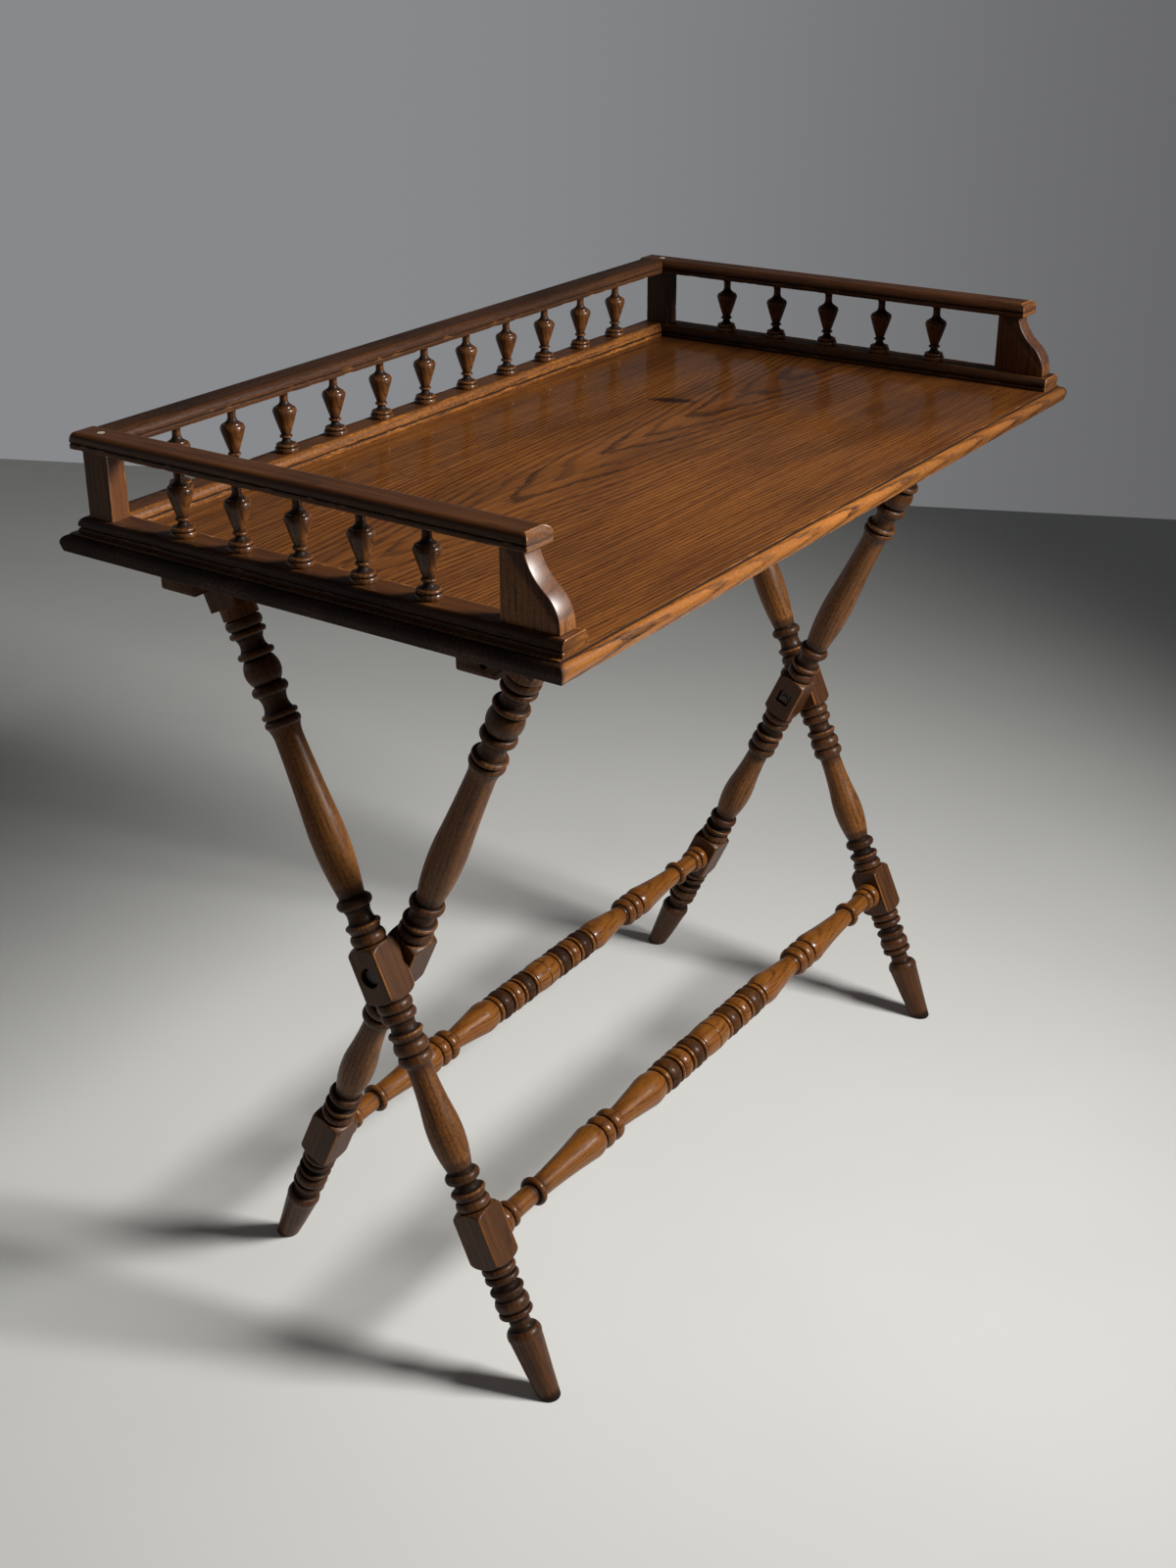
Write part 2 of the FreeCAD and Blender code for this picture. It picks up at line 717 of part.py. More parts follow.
def all_nodes():
    """Every piece of the table by node name."""
    nodes = {
        "tray_board": drilled_board(),
        "plinth_back": back_plinth(),
        "rail_back": back_rail(),
        "batten_front": front_batten(),
        "batten_back": back_batten(),
        "batten_screws": batten_screws(),
        "stretcher_front": stretcher(outer_leg_x - leg_half, -1),
        "stretcher_back": stretcher(inner_leg_x - leg_half, 1),
    }
    nodes.update(handed("plinth", side_plinth()))
    nodes.update(handed("rail", side_rail()))
    nodes.update(handed("corner_post", corner_post()))
    nodes.update(handed("corner_peg", corner_peg()))
    nodes.update(handed("scroll", front_scroll()))
    nodes.update(handed("leg_outer", outer_leg()))
    nodes.update(handed("leg_inner", inner_leg()))
    nodes.update(handed("pivot_bolt", pivot_bolt()))
    nodes.update(handed("pivot_nut", pivot_nut()))
    nodes.update(handed("tilt_pin", tilt_pin()))
    for index, place in enumerate(side_places(), 1):
        baluster = spindle(place)
        nodes[f"spindle_right_{index}"] = baluster
        nodes[f"spindle_left_{index}"] = mirrored(baluster)
    for index, place in enumerate(back_places(), 1):
        nodes[f"spindle_back_{index}"] = spindle(place)
    return nodes


os.makedirs("parts", exist_ok=True)
for node, shape in all_nodes().items():
    shape.exportStep(os.path.join("parts", node + ".step"))
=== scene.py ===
"""Looks of a butler's tray table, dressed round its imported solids.

A galleried oak tray rests on a turned X stand; the fittings are iron.
Lengths are metres in the frame of the solids.
"""

from __future__ import annotations

import json
import logging
import math
from dataclasses import dataclass
from enum import Enum
from typing import Any, Callable, Iterable, Sequence

import bmesh
import bpy
import numpy as np
from mathutils import Matrix, Vector

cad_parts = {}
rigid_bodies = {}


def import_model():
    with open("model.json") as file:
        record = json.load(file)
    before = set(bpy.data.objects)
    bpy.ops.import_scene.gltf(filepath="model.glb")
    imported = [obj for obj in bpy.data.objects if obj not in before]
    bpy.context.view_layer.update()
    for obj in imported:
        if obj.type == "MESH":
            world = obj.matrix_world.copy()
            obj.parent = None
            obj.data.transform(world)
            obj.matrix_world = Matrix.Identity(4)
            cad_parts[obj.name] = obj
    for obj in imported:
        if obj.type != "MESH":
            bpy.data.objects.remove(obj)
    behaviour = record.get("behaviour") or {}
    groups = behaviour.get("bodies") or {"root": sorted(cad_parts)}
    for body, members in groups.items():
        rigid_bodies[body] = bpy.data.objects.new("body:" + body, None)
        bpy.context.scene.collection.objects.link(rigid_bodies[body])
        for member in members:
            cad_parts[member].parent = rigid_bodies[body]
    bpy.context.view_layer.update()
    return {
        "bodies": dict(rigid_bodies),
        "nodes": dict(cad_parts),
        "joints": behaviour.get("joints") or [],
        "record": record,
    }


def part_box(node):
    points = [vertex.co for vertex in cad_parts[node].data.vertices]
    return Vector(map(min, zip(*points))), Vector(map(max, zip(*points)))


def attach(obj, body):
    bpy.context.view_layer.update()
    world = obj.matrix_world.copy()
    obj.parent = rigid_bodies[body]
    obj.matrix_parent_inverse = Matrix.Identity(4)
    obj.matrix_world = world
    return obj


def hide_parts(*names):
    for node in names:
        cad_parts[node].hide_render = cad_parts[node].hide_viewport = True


LOG = logging.getLogger("tray_table")
MM = 0.001
RELIEF_ANGLE = math.radians(36)
ARC_STEPS = 12
TINY = 1e-7
LATHE_STEP = 0.25 * MM
NARROW_WINDOW = 3.6 * MM
NARROW_DEPTH = 2.0 * MM
BEAD_WEAR = 0.8
CALM_WEAR = 0.52
BUSY_WINDOW = 9.0 * MM
BUSY_DEPTH = 1.5 * MM
BUSY_START = 0.35
BUSY_SHARE = 0.42
HOLLOW_REACH = 2.4 * MM
CREST_REACH = 2.0 * MM
CORNER_TURN = math.radians(25)
EASED_TURN = 0.35
EASED_SHARE = 0.4
LATHE_RUN = 2.0 * MM
UNTRUE_TWIST = 30.0
UNTRUE_SCALE = 1.3
WAVES = 9
WAVE_STRETCH = (0.6, 1.7)
BAND_STAIN = 0.62
SIGHT_RAYS = ("Camera", "Glossy", "Transmission")
# Shift that darkens a bar all over: stain on the back rail, painted shade on the right-hand gallery
# pieces.
ALL_OVER = 3.0
SCROLL_ARRIS = 1.0 * MM
AGE_BATCH = 4000
INSIDE_SHARE = 1.02
MERGE_DISTANCE = 0.005 * MM
FLAT_ANGLE = math.radians(1)
ARRIS_REACH = 2.2
SIDE_COSINE = 0.8

Point = tuple[float, float]
Rows = tuple[tuple[float, ...], ...]
Colour = tuple[float, float, float]


class Grain(Enum):
    """Direction in which a piece's grain runs."""

    X = 0
    Y = 1
    Z = 2


class Value:
    """A node's output that takes part in Python sums, adding Math nodes to its graph."""

    def __init__(self, graph: Graph, socket: bpy.types.NodeSocket) -> None:
        """Wrap one output.

        Args:
            graph: Graph that the socket belongs to.
            socket: Output to wrap.
        """
        self.graph = graph
        self.socket = socket

    def __add__(self, other: Value | float) -> Value:
        """Sum of two values."""
        return self.graph.math("ADD", self, other)

    def __sub__(self, other: Value | float) -> Value:
        """Difference of two values."""
        return self.graph.math("SUBTRACT", self, other)

    def __rsub__(self, other: float) -> Value:
        """Number less this value."""
        return self.graph.math("SUBTRACT", other, self)

    def __mul__(self, other: Value | float) -> Value:
        """Product of two values."""
        return self.graph.math("MULTIPLY", self, other)

    def __truediv__(self, other: Value | float) -> Value:
        """Quotient of two values."""
        return self.graph.math("DIVIDE", self, other)

    def __pow__(self, other: Value | float) -> Value:
        """This value to a power."""
        return self.graph.math("POWER", self, other)

    __radd__ = __add__
    __rmul__ = __mul__


class Graph:
    """A node tree with one way of adding nodes."""

    def __init__(self, tree: bpy.types.NodeTree) -> None:
        """Wrap a tree.

        Args:
            tree: Shader or geometry tree to add to.
        """
        self.tree = tree

    def node(self, kind: str, settings: dict[str, Any] | None = None,
             inputs: dict[str | int, Any] | None = None, output: str | int = 0) -> Value:
        """Add a node, its settings first and then its sockets.

        Args:
            kind: Type name of the node.
            settings: Attributes to set; "stops" holds a ramp's positions and shades.
            inputs: Numbers, colours or values by socket name or index.
            output: Output to return.

        Returns:
            The chosen output.
        """
        made = self.tree.nodes.new(kind)
        for name, setting in (settings or {}).items():
            if name == "stops":
                self._set_stops(made.color_ramp.elements, setting)
            else:
                setattr(made, name, setting)
        for key, given in (inputs or {}).items():
            if isinstance(given, Value):
                self.tree.links.new(given.socket, made.inputs[key])
            else:
                made.inputs[key].default_value = given
        return Value(self, made.outputs[output]) if made.outputs else Value(self, None)

    @staticmethod
    def _set_stops(elements: bpy.types.ColorRampElements, stops: Sequence[Point]) -> None:
        """Give a ramp its stops.

        Args:
            elements: The ramp's elements.
            stops: Position and grey level of each stop.
        """
        while len(elements) < len(stops):
            elements.new(1.0)
        for element, (place, level) in zip(elements, stops):
            element.position = place
            element.color = (level, level, level, 1.0)

    def math(self, operation: str, first: Value | float, second: Value | float) -> Value:
        """One Math node on two values."""
        return self.node("ShaderNodeMath", {"operation": operation}, {0: first, 1: second})

    def attribute(self, name: str, output: str) -> Value:
        """A mesh attribute by name, as its Vector or Fac."""
        return self.node("ShaderNodeAttribute", {"attribute_name": name}, output=output)

    def stretch(self, vector: Value, factors: Colour) -> Value:
        """A vector times one factor along each axis."""
        return self.node("ShaderNodeVectorMath", {"operation": "MULTIPLY"}, {0: vector, 1: factors})

    def noise(self, vector: Value, scale: float, detail: float = 3.0) -> Value:
        """Noise between 0 and 1, about even."""
        given = {"Vector": vector, "Scale": scale, "Detail": detail}
        return self.node("ShaderNodeTexNoise", None, given)

    def fade(self, value: Value, low: float, high: float) -> Value:
        """Smooth step of a value, 0 at the first bound and 1 at the second."""
        bounds = {"Value": value, "From Min": low, "From Max": high}
        return self.node("ShaderNodeMapRange", {"interpolation_type": "SMOOTHSTEP"}, bounds)

    def ramp(self, value: Value, stops: Sequence[Point]) -> Value:
        """A value sent through a ramp of grey levels."""
        return self.node("ShaderNodeValToRGB", {"stops": stops}, {0: value})

    def blend(self, factor: Value, first: Value | Colour, second: Value | Colour) -> Value:
        """Colour between two colours."""
        sides = [side if isinstance(side, Value) else (*side, 1.0) for side in (first, second)]
        inputs = {0: factor, 6: sides[0], 7: sides[1]}
        return self.node("ShaderNodeMix", {"data_type": "RGBA"}, inputs, 2)

    def parts(self, vector: Value) -> tuple[Value, Value, Value]:
        """The three parts of a vector."""
        split = self.node("ShaderNodeSeparateXYZ", None, {0: vector})
        outputs = split.socket.node.outputs
        return Value(self, outputs[0]), Value(self, outputs[1]), Value(self, outputs[2])

    def surface(self, inputs: dict[str, Any], height: Value, strength: float,
                distance: float) -> None:
        """Finish a material with a principled surface and its relief.

        Args:
            inputs: Socket values of the surface.
            height: Height that makes the relief.
            strength: Share of the relief that shows.
            distance: Depth of the relief.
        """
        relief = {"Strength": strength, "Distance": distance, "Height": height}
        normal = self.node("ShaderNodeBump", None, relief)
        surface = self.node("ShaderNodeBsdfPrincipled", None, {**inputs, "Normal": normal})
        self.node("ShaderNodeOutputMaterial", None, {"Surface": surface})


def new_graph(name: str) -> tuple[bpy.types.Material, Graph]:
    """An empty material and its graph.

    Args:
        name: Name of the material.

    Returns:
        The material and a graph of its tree.
    """
    material = bpy.data.materials.new(name)
    material.use_nodes = True
    material.node_tree.nodes.clear()
    return material, Graph(material.node_tree)


@dataclass(frozen=True)
class OakFigure:
    """Scales of oak's figure, along and twice across the grain, and how far each one shows."""

    streak: Colour = (7, 210, 210)
    streak_bounds: Point = (0.3, 0.72)
    pore: Colour = (55, 1050, 1050)
    pore_bounds: Point = (0.50, 0.62)
    pore_dirt: Point = (0.10, 0.55)
    mottle: Colour = (5, 16, 16)
    cloud_bounds: Point = (0.35, 0.75)
    cloud_share: float = 0.4
    speckle: float = 420.0
    rub_least: float = 0.45
    rub_speckle: float = 0.5
    rubbed_bounds: Point = (0.25, 0.85)
    pack_least: float = 0.55
    pack_mottle: float = 0.9
    pack_speckle: float = 0.35
    grime_bounds: Point = (0.12, 0.75)
    ring_fill: Point = (0.75, 0.25)
    ring_chance: Point = (0.5, 0.5)
    sway: Colour = (3.2, 17, 17)
    waver: Colour = (15, 75, 75)
    ragged: Colour = (70, 420, 420)
    drifts: Colour = (2.8, 0.5, 0.45)
    ring_stops: tuple[Point, ...] = (
        (0.0, 0.85), (0.06, 0.1), (0.40, 0.0), (0.64, 0.15), (0.80, 0.95), (1.0, 1.0),
    )
    rough_mottle: float = 0.16
    rough_grime: float = 0.22
    rough_pores: float = 0.12
    smooth_worn: float = 0.06
    level: float = 0.6
    sunk_rings: float = 0.22
    sunk_pores: float = 0.5
    raised_speckle: float = 0.16
    raised_streaks: float = 0.2
    relief_depth: float = 0.35 * MM
    bare_shine: float = 0.12


@dataclass(frozen=True)
class OakFinish:
    """Stained and polished oak, darker with soil in its recesses and paler with wear on its proud
    parts; on some gallery pieces and inside the leg bores the darkening is painted shade, and on
    the plinths' inner sides the paling is a painted highlight.
    """

    name: str
    pale: Colour
    mid: Colour
    deep: Colour
    # Colour of dirt, also laid as painted shade where the mesh marks shaded faces.
    dirt_and_shade_colour: Colour
    # Colour of wear, also laid as a painted highlight on the lit inner sides of the plinths.
    worn: Colour
    ring_spacing: float = 5.0 * MM
    ring_share: float = 0.75
    heart_side: float = 9.0 * MM
    heart_depth: float = 42.0 * MM
    taper: float = 0.03
    dirt_and_shade_share: float = 0.9
    wear_and_highlight_share: float = 0.6
    gloss: float = 0.34
    varnish: float = 0.35
    polish: float = 0.16
    relief: float = 0.35
    figure: OakFigure = OakFigure()

    def build(self) -> bpy.types.Material:
        """Make the material.

        Returns:
            The finished material.
        """
        material, graph = new_graph(self.name)
        figure = self.figure
        grain = graph.attribute("grain", "Vector")
        rings = self._rings(graph, grain)
        streaks = graph.noise(graph.stretch(grain, figure.streak), 1.0, 4.0)
        open_grain = graph.noise(graph.stretch(grain, figure.pore), 1.0, 2.0)
        pores = graph.fade(open_grain, *figure.pore_bounds)
        mottle = graph.noise(graph.stretch(grain, figure.mottle), 1.0, 4.0)
        speckle = graph.noise(grain, figure.speckle, 3.0)
        wood = graph.blend(graph.fade(streaks, *figure.streak_bounds), self.pale, self.mid)
        clouds = graph.fade(mottle, *figure.cloud_bounds) * figure.cloud_share
        wood = graph.blend(clouds, wood, self.deep)
        # Paler where this mask is set: wear on proud parts, and a painted highlight on the plinths'
        # inner sides.
        crest = graph.attribute("crest", "Fac")
        rubbed = crest * (figure.rub_least + mottle) + (speckle - 0.5) * figure.rub_speckle
        worn = graph.fade(rubbed, *figure.rubbed_bounds) * self.wear_and_highlight_share
        wood = graph.blend(worn, wood, self.worn)
        full, porous = figure.ring_fill
        wood = graph.blend(rings * (full + porous * pores) * self.ring_share, wood, self.deep)
        early, late = figure.pore_dirt
        wood = graph.blend(pores * (early + late * rings), wood, self.dirt_and_shade_colour)
        wood = self.marks(graph, wood, mottle)
        # Darker where this mask is set: dirt in recesses, and painted shade on shaded gallery
        # pieces and inside the leg bores.
        hollow = graph.attribute("hollow", "Fac")
        packed_dirt_and_shade = hollow * (figure.pack_least + mottle * figure.pack_mottle)
        packed_dirt_and_shade = packed_dirt_and_shade + (speckle - 0.5) * figure.pack_speckle
        grime_and_shade = graph.fade(packed_dirt_and_shade, *figure.grime_bounds) * self.dirt_and_shade_share
        wood = graph.blend(grime_and_shade, wood, self.dirt_and_shade_colour)
        roughness = self.gloss + mottle * figure.rough_mottle + grime_and_shade * figure.rough_grime
        roughness = roughness + pores * figure.rough_pores - worn * figure.smooth_worn
        height = figure.level - rings * figure.sunk_rings - pores * figure.sunk_pores
        height = height + speckle * figure.raised_speckle + streaks * figure.raised_streaks
        surface = {
            "Base Color": wood,
            "Roughness": roughness,
            "Coat Weight": (1 - grime_and_shade) * self.varnish,
            "Coat Roughness": self.polish,
            "Specular IOR Level": figure.bare_shine,
        }
        graph.surface(surface, height, self.relief, figure.relief_depth)
        return material

    def _rings(self, graph: Graph, grain: Value) -> Value:
        """Dark lines of late wood round a heart that lies beside and below the piece.

        Args:
            graph: Graph to add to.
            grain: Place along and across the grain.

        Returns:
            Strength of the lines from 0 to 1.
        """
        figure = self.figure
        sway = graph.noise(graph.stretch(grain, figure.sway), 1.0, 3.0) - 0.5
        waver = graph.noise(graph.stretch(grain, figure.waver), 1.0, 2.0) - 0.5
        ragged = graph.noise(graph.stretch(grain, figure.ragged), 1.0, 3.0) - 0.5
        along, side, depth = graph.parts(grain)
        reach = ((side - self.heart_side) ** 2.0 + (depth + self.heart_depth) ** 2.0) ** 0.5
        phase = (reach - along * self.taper) / self.ring_spacing
        for drift, share in zip((sway, waver, ragged), figure.drifts):
            phase = phase + drift * share
        ring = graph.math("FRACT", phase, 0.0)
        number = graph.math("FLOOR", phase, 0.0)
        chance = graph.node("ShaderNodeTexWhiteNoise", {"noise_dimensions": "1D"}, {"W": number})
        least, spread = figure.ring_chance
        return graph.ramp(ring, figure.ring_stops) * (least + spread * chance)

    def marks(self, graph: Graph, wood: Value, mottle: Value) -> Value:
        """Colour with this piece's own stains; plain pieces have none.

        Args:
            graph: Graph to add to.
            wood: Colour so far.
            mottle: Slow noise over the piece.

        Returns:
            The colour with its stains.
        """
        return wood


@dataclass(frozen=True)
class TrayFinish(OakFinish):
    """Tray oak with a dark burn, the ring of a cup, and painted shade towards the right end."""

    burn_place: Point = (170.0 * MM, 49.0 * MM)
    burn_reach: Point = (9.0 * MM, 27.0 * MM)
    burn_turn: float = math.radians(20)
    burn_ragged: Colour = (120, 300, 300)
    burn_wander: float = 0.7
    burn_bounds: Point = (0.55, 1.1)
    burn_share: float = 0.85
    cup_place: Point = (-138.0 * MM, 105.0 * MM)
    cup_radius: float = 21.0 * MM
    cup_line: Point = (0.6 * MM, 2.6 * MM)
    cup_share: float = 0.5
    # The board darkens towards its right end: painted shade.
    end_ragged: float = 0.5
    end_bounds: Point = (-0.1, 0.5)
    end_painted_shade: float = 0.6

    def marks(self, graph: Graph, wood: Value, mottle: Value) -> Value:
        """Colour with painted shade towards the right end, the burn and the cup's ring.

        Args:
            graph: Graph to add to.
            wood: Colour so far.
            mottle: Slow noise over the piece.

        Returns:
            The colour with its stains.
        """
        grain = graph.attribute("grain", "Vector")
        along, side, _ = graph.parts(grain)
        # Painted shade, growing towards the right end of the board.
        uneven = along + (mottle - 0.5) * self.end_ragged
        shade = graph.fade(uneven, *self.end_bounds) * self.end_painted_shade
        wood = graph.blend(shade, wood, self.deep)
        x, y = along - self.burn_place[0], side - self.burn_place[1]
        cos, sin = math.cos(self.burn_turn), math.sin(self.burn_turn)
        across = (x * cos + y * sin) / self.burn_reach[0]
        length = (y * cos - x * sin) / self.burn_reach[1]
        edge = graph.noise(graph.stretch(grain, self.burn_ragged), 1.0, 3.0) - 0.5
        burn = (across ** 2.0 + length ** 2.0) ** 0.5 + edge * self.burn_wander
        burn = (1 - graph.fade(burn, *self.burn_bounds)) * self.burn_share
        wood = graph.blend(burn, wood, self.dirt_and_shade_colour)
        x, y = along - self.cup_place[0], side - self.cup_place[1]
        ring = graph.math("ABSOLUTE", (x ** 2.0 + y ** 2.0) ** 0.5 - self.cup_radius, 0.0)
        ring = (1 - graph.fade(ring, *self.cup_line)) * mottle
        return graph.blend(ring * self.cup_share, wood, self.deep)


@dataclass(frozen=True)
class IronFinish:
    """Old iron, dark with a bloom of rust."""

    name: str
    dark: Colour
    rust: Colour
    gloss: float
    metal: float = 0.85
    pit_scale: float = 900.0
    bloom_scale: float = 160.0
    bloom_bounds: Point = (0.48, 0.68)
    rough_bloom: float = 0.3
    rough_pits: float = 0.15
    relief: float = 0.4
    relief_depth: float = 0.2 * MM

    def build(self) -> bpy.types.Material:
        """Make the material.

        Returns:
            The finished material.
        """
        material, graph = new_graph(self.name)
        place = graph.node("ShaderNodeTexCoord", output="Object")
        pits = graph.noise(place, self.pit_scale, 4.0)
        bloom = graph.fade(graph.noise(place, self.bloom_scale, 5.0), *self.bloom_bounds)
        colour = graph.blend(bloom, self.dark, self.rust)
        surface = {
            "Base Color": colour,
            "Metallic": (1 - bloom) * self.metal,
            "Roughness": self.gloss + bloom * self.rough_bloom + pits * self.rough_pits,
        }
        graph.surface(surface, pits, self.relief, self.relief_depth)
        return material


@dataclass(frozen=True)
class PegFinish:
    """End grain of a pale peg, clouded with grey."""

    name: str
    pale: Colour
    grey: Colour
    pore_scale: Colour = (2400, 2400, 300)
    pore_bounds: Point = (0.45, 0.7)
    cloud_scale: float = 320.0
    cloud_bounds: Point = (0.4, 0.8)
    cloud_share: float = 0.6
    gloss: float = 0.5
    rough_pores: float = 0.2
    relief: float = 0.4
    relief_depth: float = 0.2 * MM

    def build(self) -> bpy.types.Material:
        """Make the material.

        Returns:
            The finished material.
        """
        material, graph = new_graph(self.name)
        place = graph.node("ShaderNodeTexCoord", output="Object")
        pores = graph.noise(graph.stretch(place, self.pore_scale), 1.0, 2.0)
        cloud = graph.noise(place, self.cloud_scale, 3.0)
        colour = graph.blend(graph.fade(pores, *self.pore_bounds), self.pale, self.grey)
        clouds = graph.fade(cloud, *self.cloud_bounds) * self.cloud_share
        colour = graph.blend(clouds, colour, self.grey)
        surface = {"Base Color": colour, "Roughness": self.gloss + pores * self.rough_pores}
        graph.surface(surface, pores, self.relief, self.relief_depth)
        return material


@dataclass(frozen=True)
class FloorFinish:
    """Pale painted floor with faint clouds."""

    name: str
    pale: Colour
    grey: Colour
    cloud_scale: float = 2.2
    cloud_bounds: Point = (0.3, 0.8)
    cloud_share: float = 0.6
    grit_scale: float = 260.0
    gloss: float = 0.55
    rough_cloud: float = 0.2
    relief: float = 0.1
    relief_depth: float = 0.3 * MM

    def build(self) -> bpy.types.Material:
        """Make the material.

        Returns:
            The finished material.
        """
        material, graph = new_graph(self.name)
        place = graph.node("ShaderNodeTexCoord", output="Object")
        cloud = graph.noise(place, self.cloud_scale, 5.0)
        grit = graph.noise(place, self.grit_scale, 3.0)
        clouds = graph.fade(cloud, *self.cloud_bounds) * self.cloud_share
        colour = graph.blend(clouds, self.pale, self.grey)
        surface = {"Base Color": colour, "Roughness": self.gloss + cloud * self.rough_cloud}
        graph.surface(surface, grit, self.relief, self.relief_depth)
        return material


TRAY_OAK = TrayFinish(
    "tray_oak_polished", pale=(0.236, 0.080, 0.0130), mid=(0.136, 0.041, 0.0070),
    deep=(0.021, 0.006, 0.002), dirt_and_shade_colour=(0.006, 0.003, 0.002), worn=(0.480, 0.180, 0.028),
    ring_spacing=4.2 * MM, ring_share=0.95, heart_side=-4.0 * MM, heart_depth=75.0 * MM,
    taper=0.055, gloss=0.38, varnish=0.6, polish=0.11,
)
GALLERY_OAK = OakFinish(
    "gallery_oak_dark", pale=(0.108, 0.037, 0.009), mid=(0.068, 0.022, 0.006),
    deep=(0.022, 0.007, 0.003), dirt_and_shade_colour=(0.004, 0.002, 0.0015), worn=(0.380, 0.140, 0.024),
    ring_share=0.45, wear_and_highlight_share=0.8, gloss=0.40, varnish=0.3, polish=0.24,
)
SCROLL_OAK = OakFinish(
    "scroll_oak_polished", pale=(0.150, 0.052, 0.014), mid=(0.100, 0.033, 0.009),
    deep=(0.036, 0.012, 0.005), dirt_and_shade_colour=(0.005, 0.002, 0.0015), worn=(0.360, 0.135, 0.026),
    ring_share=0.5, gloss=0.40, varnish=1.0, polish=0.36, relief=0.6,
)
SPINDLE_OAK = OakFinish(
    "spindle_oak_dark", pale=(0.128, 0.047, 0.011), mid=(0.082, 0.028, 0.007),
    deep=(0.026, 0.009, 0.004), dirt_and_shade_colour=(0.006, 0.003, 0.002), worn=(0.220, 0.085, 0.022),
    ring_spacing=3.4 * MM, gloss=0.34, varnish=0.4, wear_and_highlight_share=0.5, relief=0.12,
)
LEG_OAK = OakFinish(
    "leg_oak_stained", pale=(0.100, 0.037, 0.010), mid=(0.064, 0.022, 0.0065),
    deep=(0.024, 0.008, 0.003), dirt_and_shade_colour=(0.006, 0.003, 0.002), worn=(0.330, 0.125, 0.025),
    ring_spacing=4.2 * MM, ring_share=0.55, gloss=0.36, varnish=0.22, polish=0.30, wear_and_highlight_share=0.8,
)
STRETCHER_OAK = OakFinish(
    "stretcher_oak_stained", pale=(0.210, 0.072, 0.010), mid=(0.145, 0.046, 0.006),
    deep=(0.045, 0.013, 0.003), dirt_and_shade_colour=(0.007, 0.003, 0.002), worn=(0.270, 0.100, 0.013),
    ring_spacing=4.2 * MM, ring_share=0.5, gloss=0.32, varnish=0.35,
)
BATTEN_OAK = OakFinish(
    "batten_oak_dull", pale=(0.075, 0.030, 0.012), mid=(0.052, 0.020, 0.008),
    deep=(0.022, 0.008, 0.004), dirt_and_shade_colour=(0.006, 0.003, 0.002), worn=(0.110, 0.046, 0.018), gloss=0.5,
    varnish=0.1,
)
BLACK_IRON = IronFinish(
    "black_iron_old", dark=(0.060, 0.055, 0.052), rust=(0.060, 0.028, 0.016), gloss=0.38,
)
DULL_STEEL = IronFinish(
    "dull_steel_old", dark=(0.30, 0.28, 0.26), rust=(0.10, 0.055, 0.03), gloss=0.32, metal=1.0,
)
PEG_WOOD = PegFinish(
    "peg_wood_pale", pale=(0.52, 0.46, 0.37), grey=(0.24, 0.21, 0.17),
)
FLOOR_PAINT = FloorFinish(
    "floor_paint_pale", pale=(0.78, 0.78, 0.75), grey=(0.70, 0.70, 0.68),
)


def ripple(points: np.ndarray, length: float, seed: int) -> np.ndarray:
    """Smooth unevenness over points, the same on every run.

    Args:
        points: Places, one row each.
        length: Usual distance from crest to crest.
        seed: Choice of pattern.

    Returns:
        One number for each point, mostly between -1 and 1.
    """
    source = np.random.default_rng(seed)
    total = np.zeros(len(points))
    for _ in range(WAVES):
        way = source.normal(size=3)
        way *= 2 * math.pi / (length * np.linalg.norm(way))
        stretch = source.uniform(*WAVE_STRETCH)
        total += np.sin(points @ way * stretch + source.uniform(0, 2 * math.pi))
    return total / math.sqrt(WAVES)


def arc_between(start: Point, middle: Point, end: Point, steps: int = ARC_STEPS) -> list[Point]:
    """Points along the circle through three points.

    Args:
        start: Where the arc starts; it isn't repeated in the result.
        middle: A point on the way.
        end: Where the arc ends.
        steps: Number of chords.

    Returns:
        The points after the start.
    """
    (x1, y1), (x2, y2), (x3, y3) = start, middle, end
    twist = 2 * (x1 * (y2 - y3) + x2 * (y3 - y1) + x3 * (y1 - y2))
    if abs(twist) < TINY * TINY:
        return [end]
    s1, s2, s3 = (x * x + y * y for x, y in (start, middle, end))
    cx = (s1 * (y2 - y3) + s2 * (y3 - y1) + s3 * (y1 - y2)) / twist
    cy = (s1 * (x3 - x2) + s2 * (x1 - x3) + s3 * (x2 - x1)) / twist
    radius = math.hypot(x1 - cx, y1 - cy)
    first, through, last = (math.atan2(y - cy, x - cx) for x, y in (start, middle, end))
    sweep = (last - first) % (2 * math.pi)
    if (through - first) % (2 * math.pi) > sweep:
        sweep -= 2 * math.pi
    angles = [first + sweep * step / steps for step in range(1, steps + 1)]
    return [(cx + radius * math.cos(angle), cy + radius * math.sin(angle)) for angle in angles]


def eased(points: Sequence[Point], reach: float, closed: bool) -> list[Point]:
    """A line whose sharp corners are worn to small rounds.

    Args:
        points: The line's points.
        reach: How far along each side a round may take.
        closed: Whether the last point joins the first.

    Returns:
        The eased line.
    """
    result: list[Point] = []
    count = len(points)
    for index, point in enumerate(points):
        here = Vector(point)
        before = Vector(points[index - 1]) - here
        after = Vector(points[(index + 1) % count]) - here
        inside = closed or 0 < index < count - 1
        short = min(before.length, after.length) < TINY
        if not inside or short or before.angle(-after) < EASED_TURN:
            result.append(point)
            continue
        cut = min(reach, before.length * EASED_SHARE, after.length * EASED_SHARE)
        first = here + before.normalized() * cut
        last = here + after.normalized() * cut
        middle = (first + last) * 0.25 + here * 0.5
        result += [tuple(first), tuple(middle), tuple(last)]
    return result


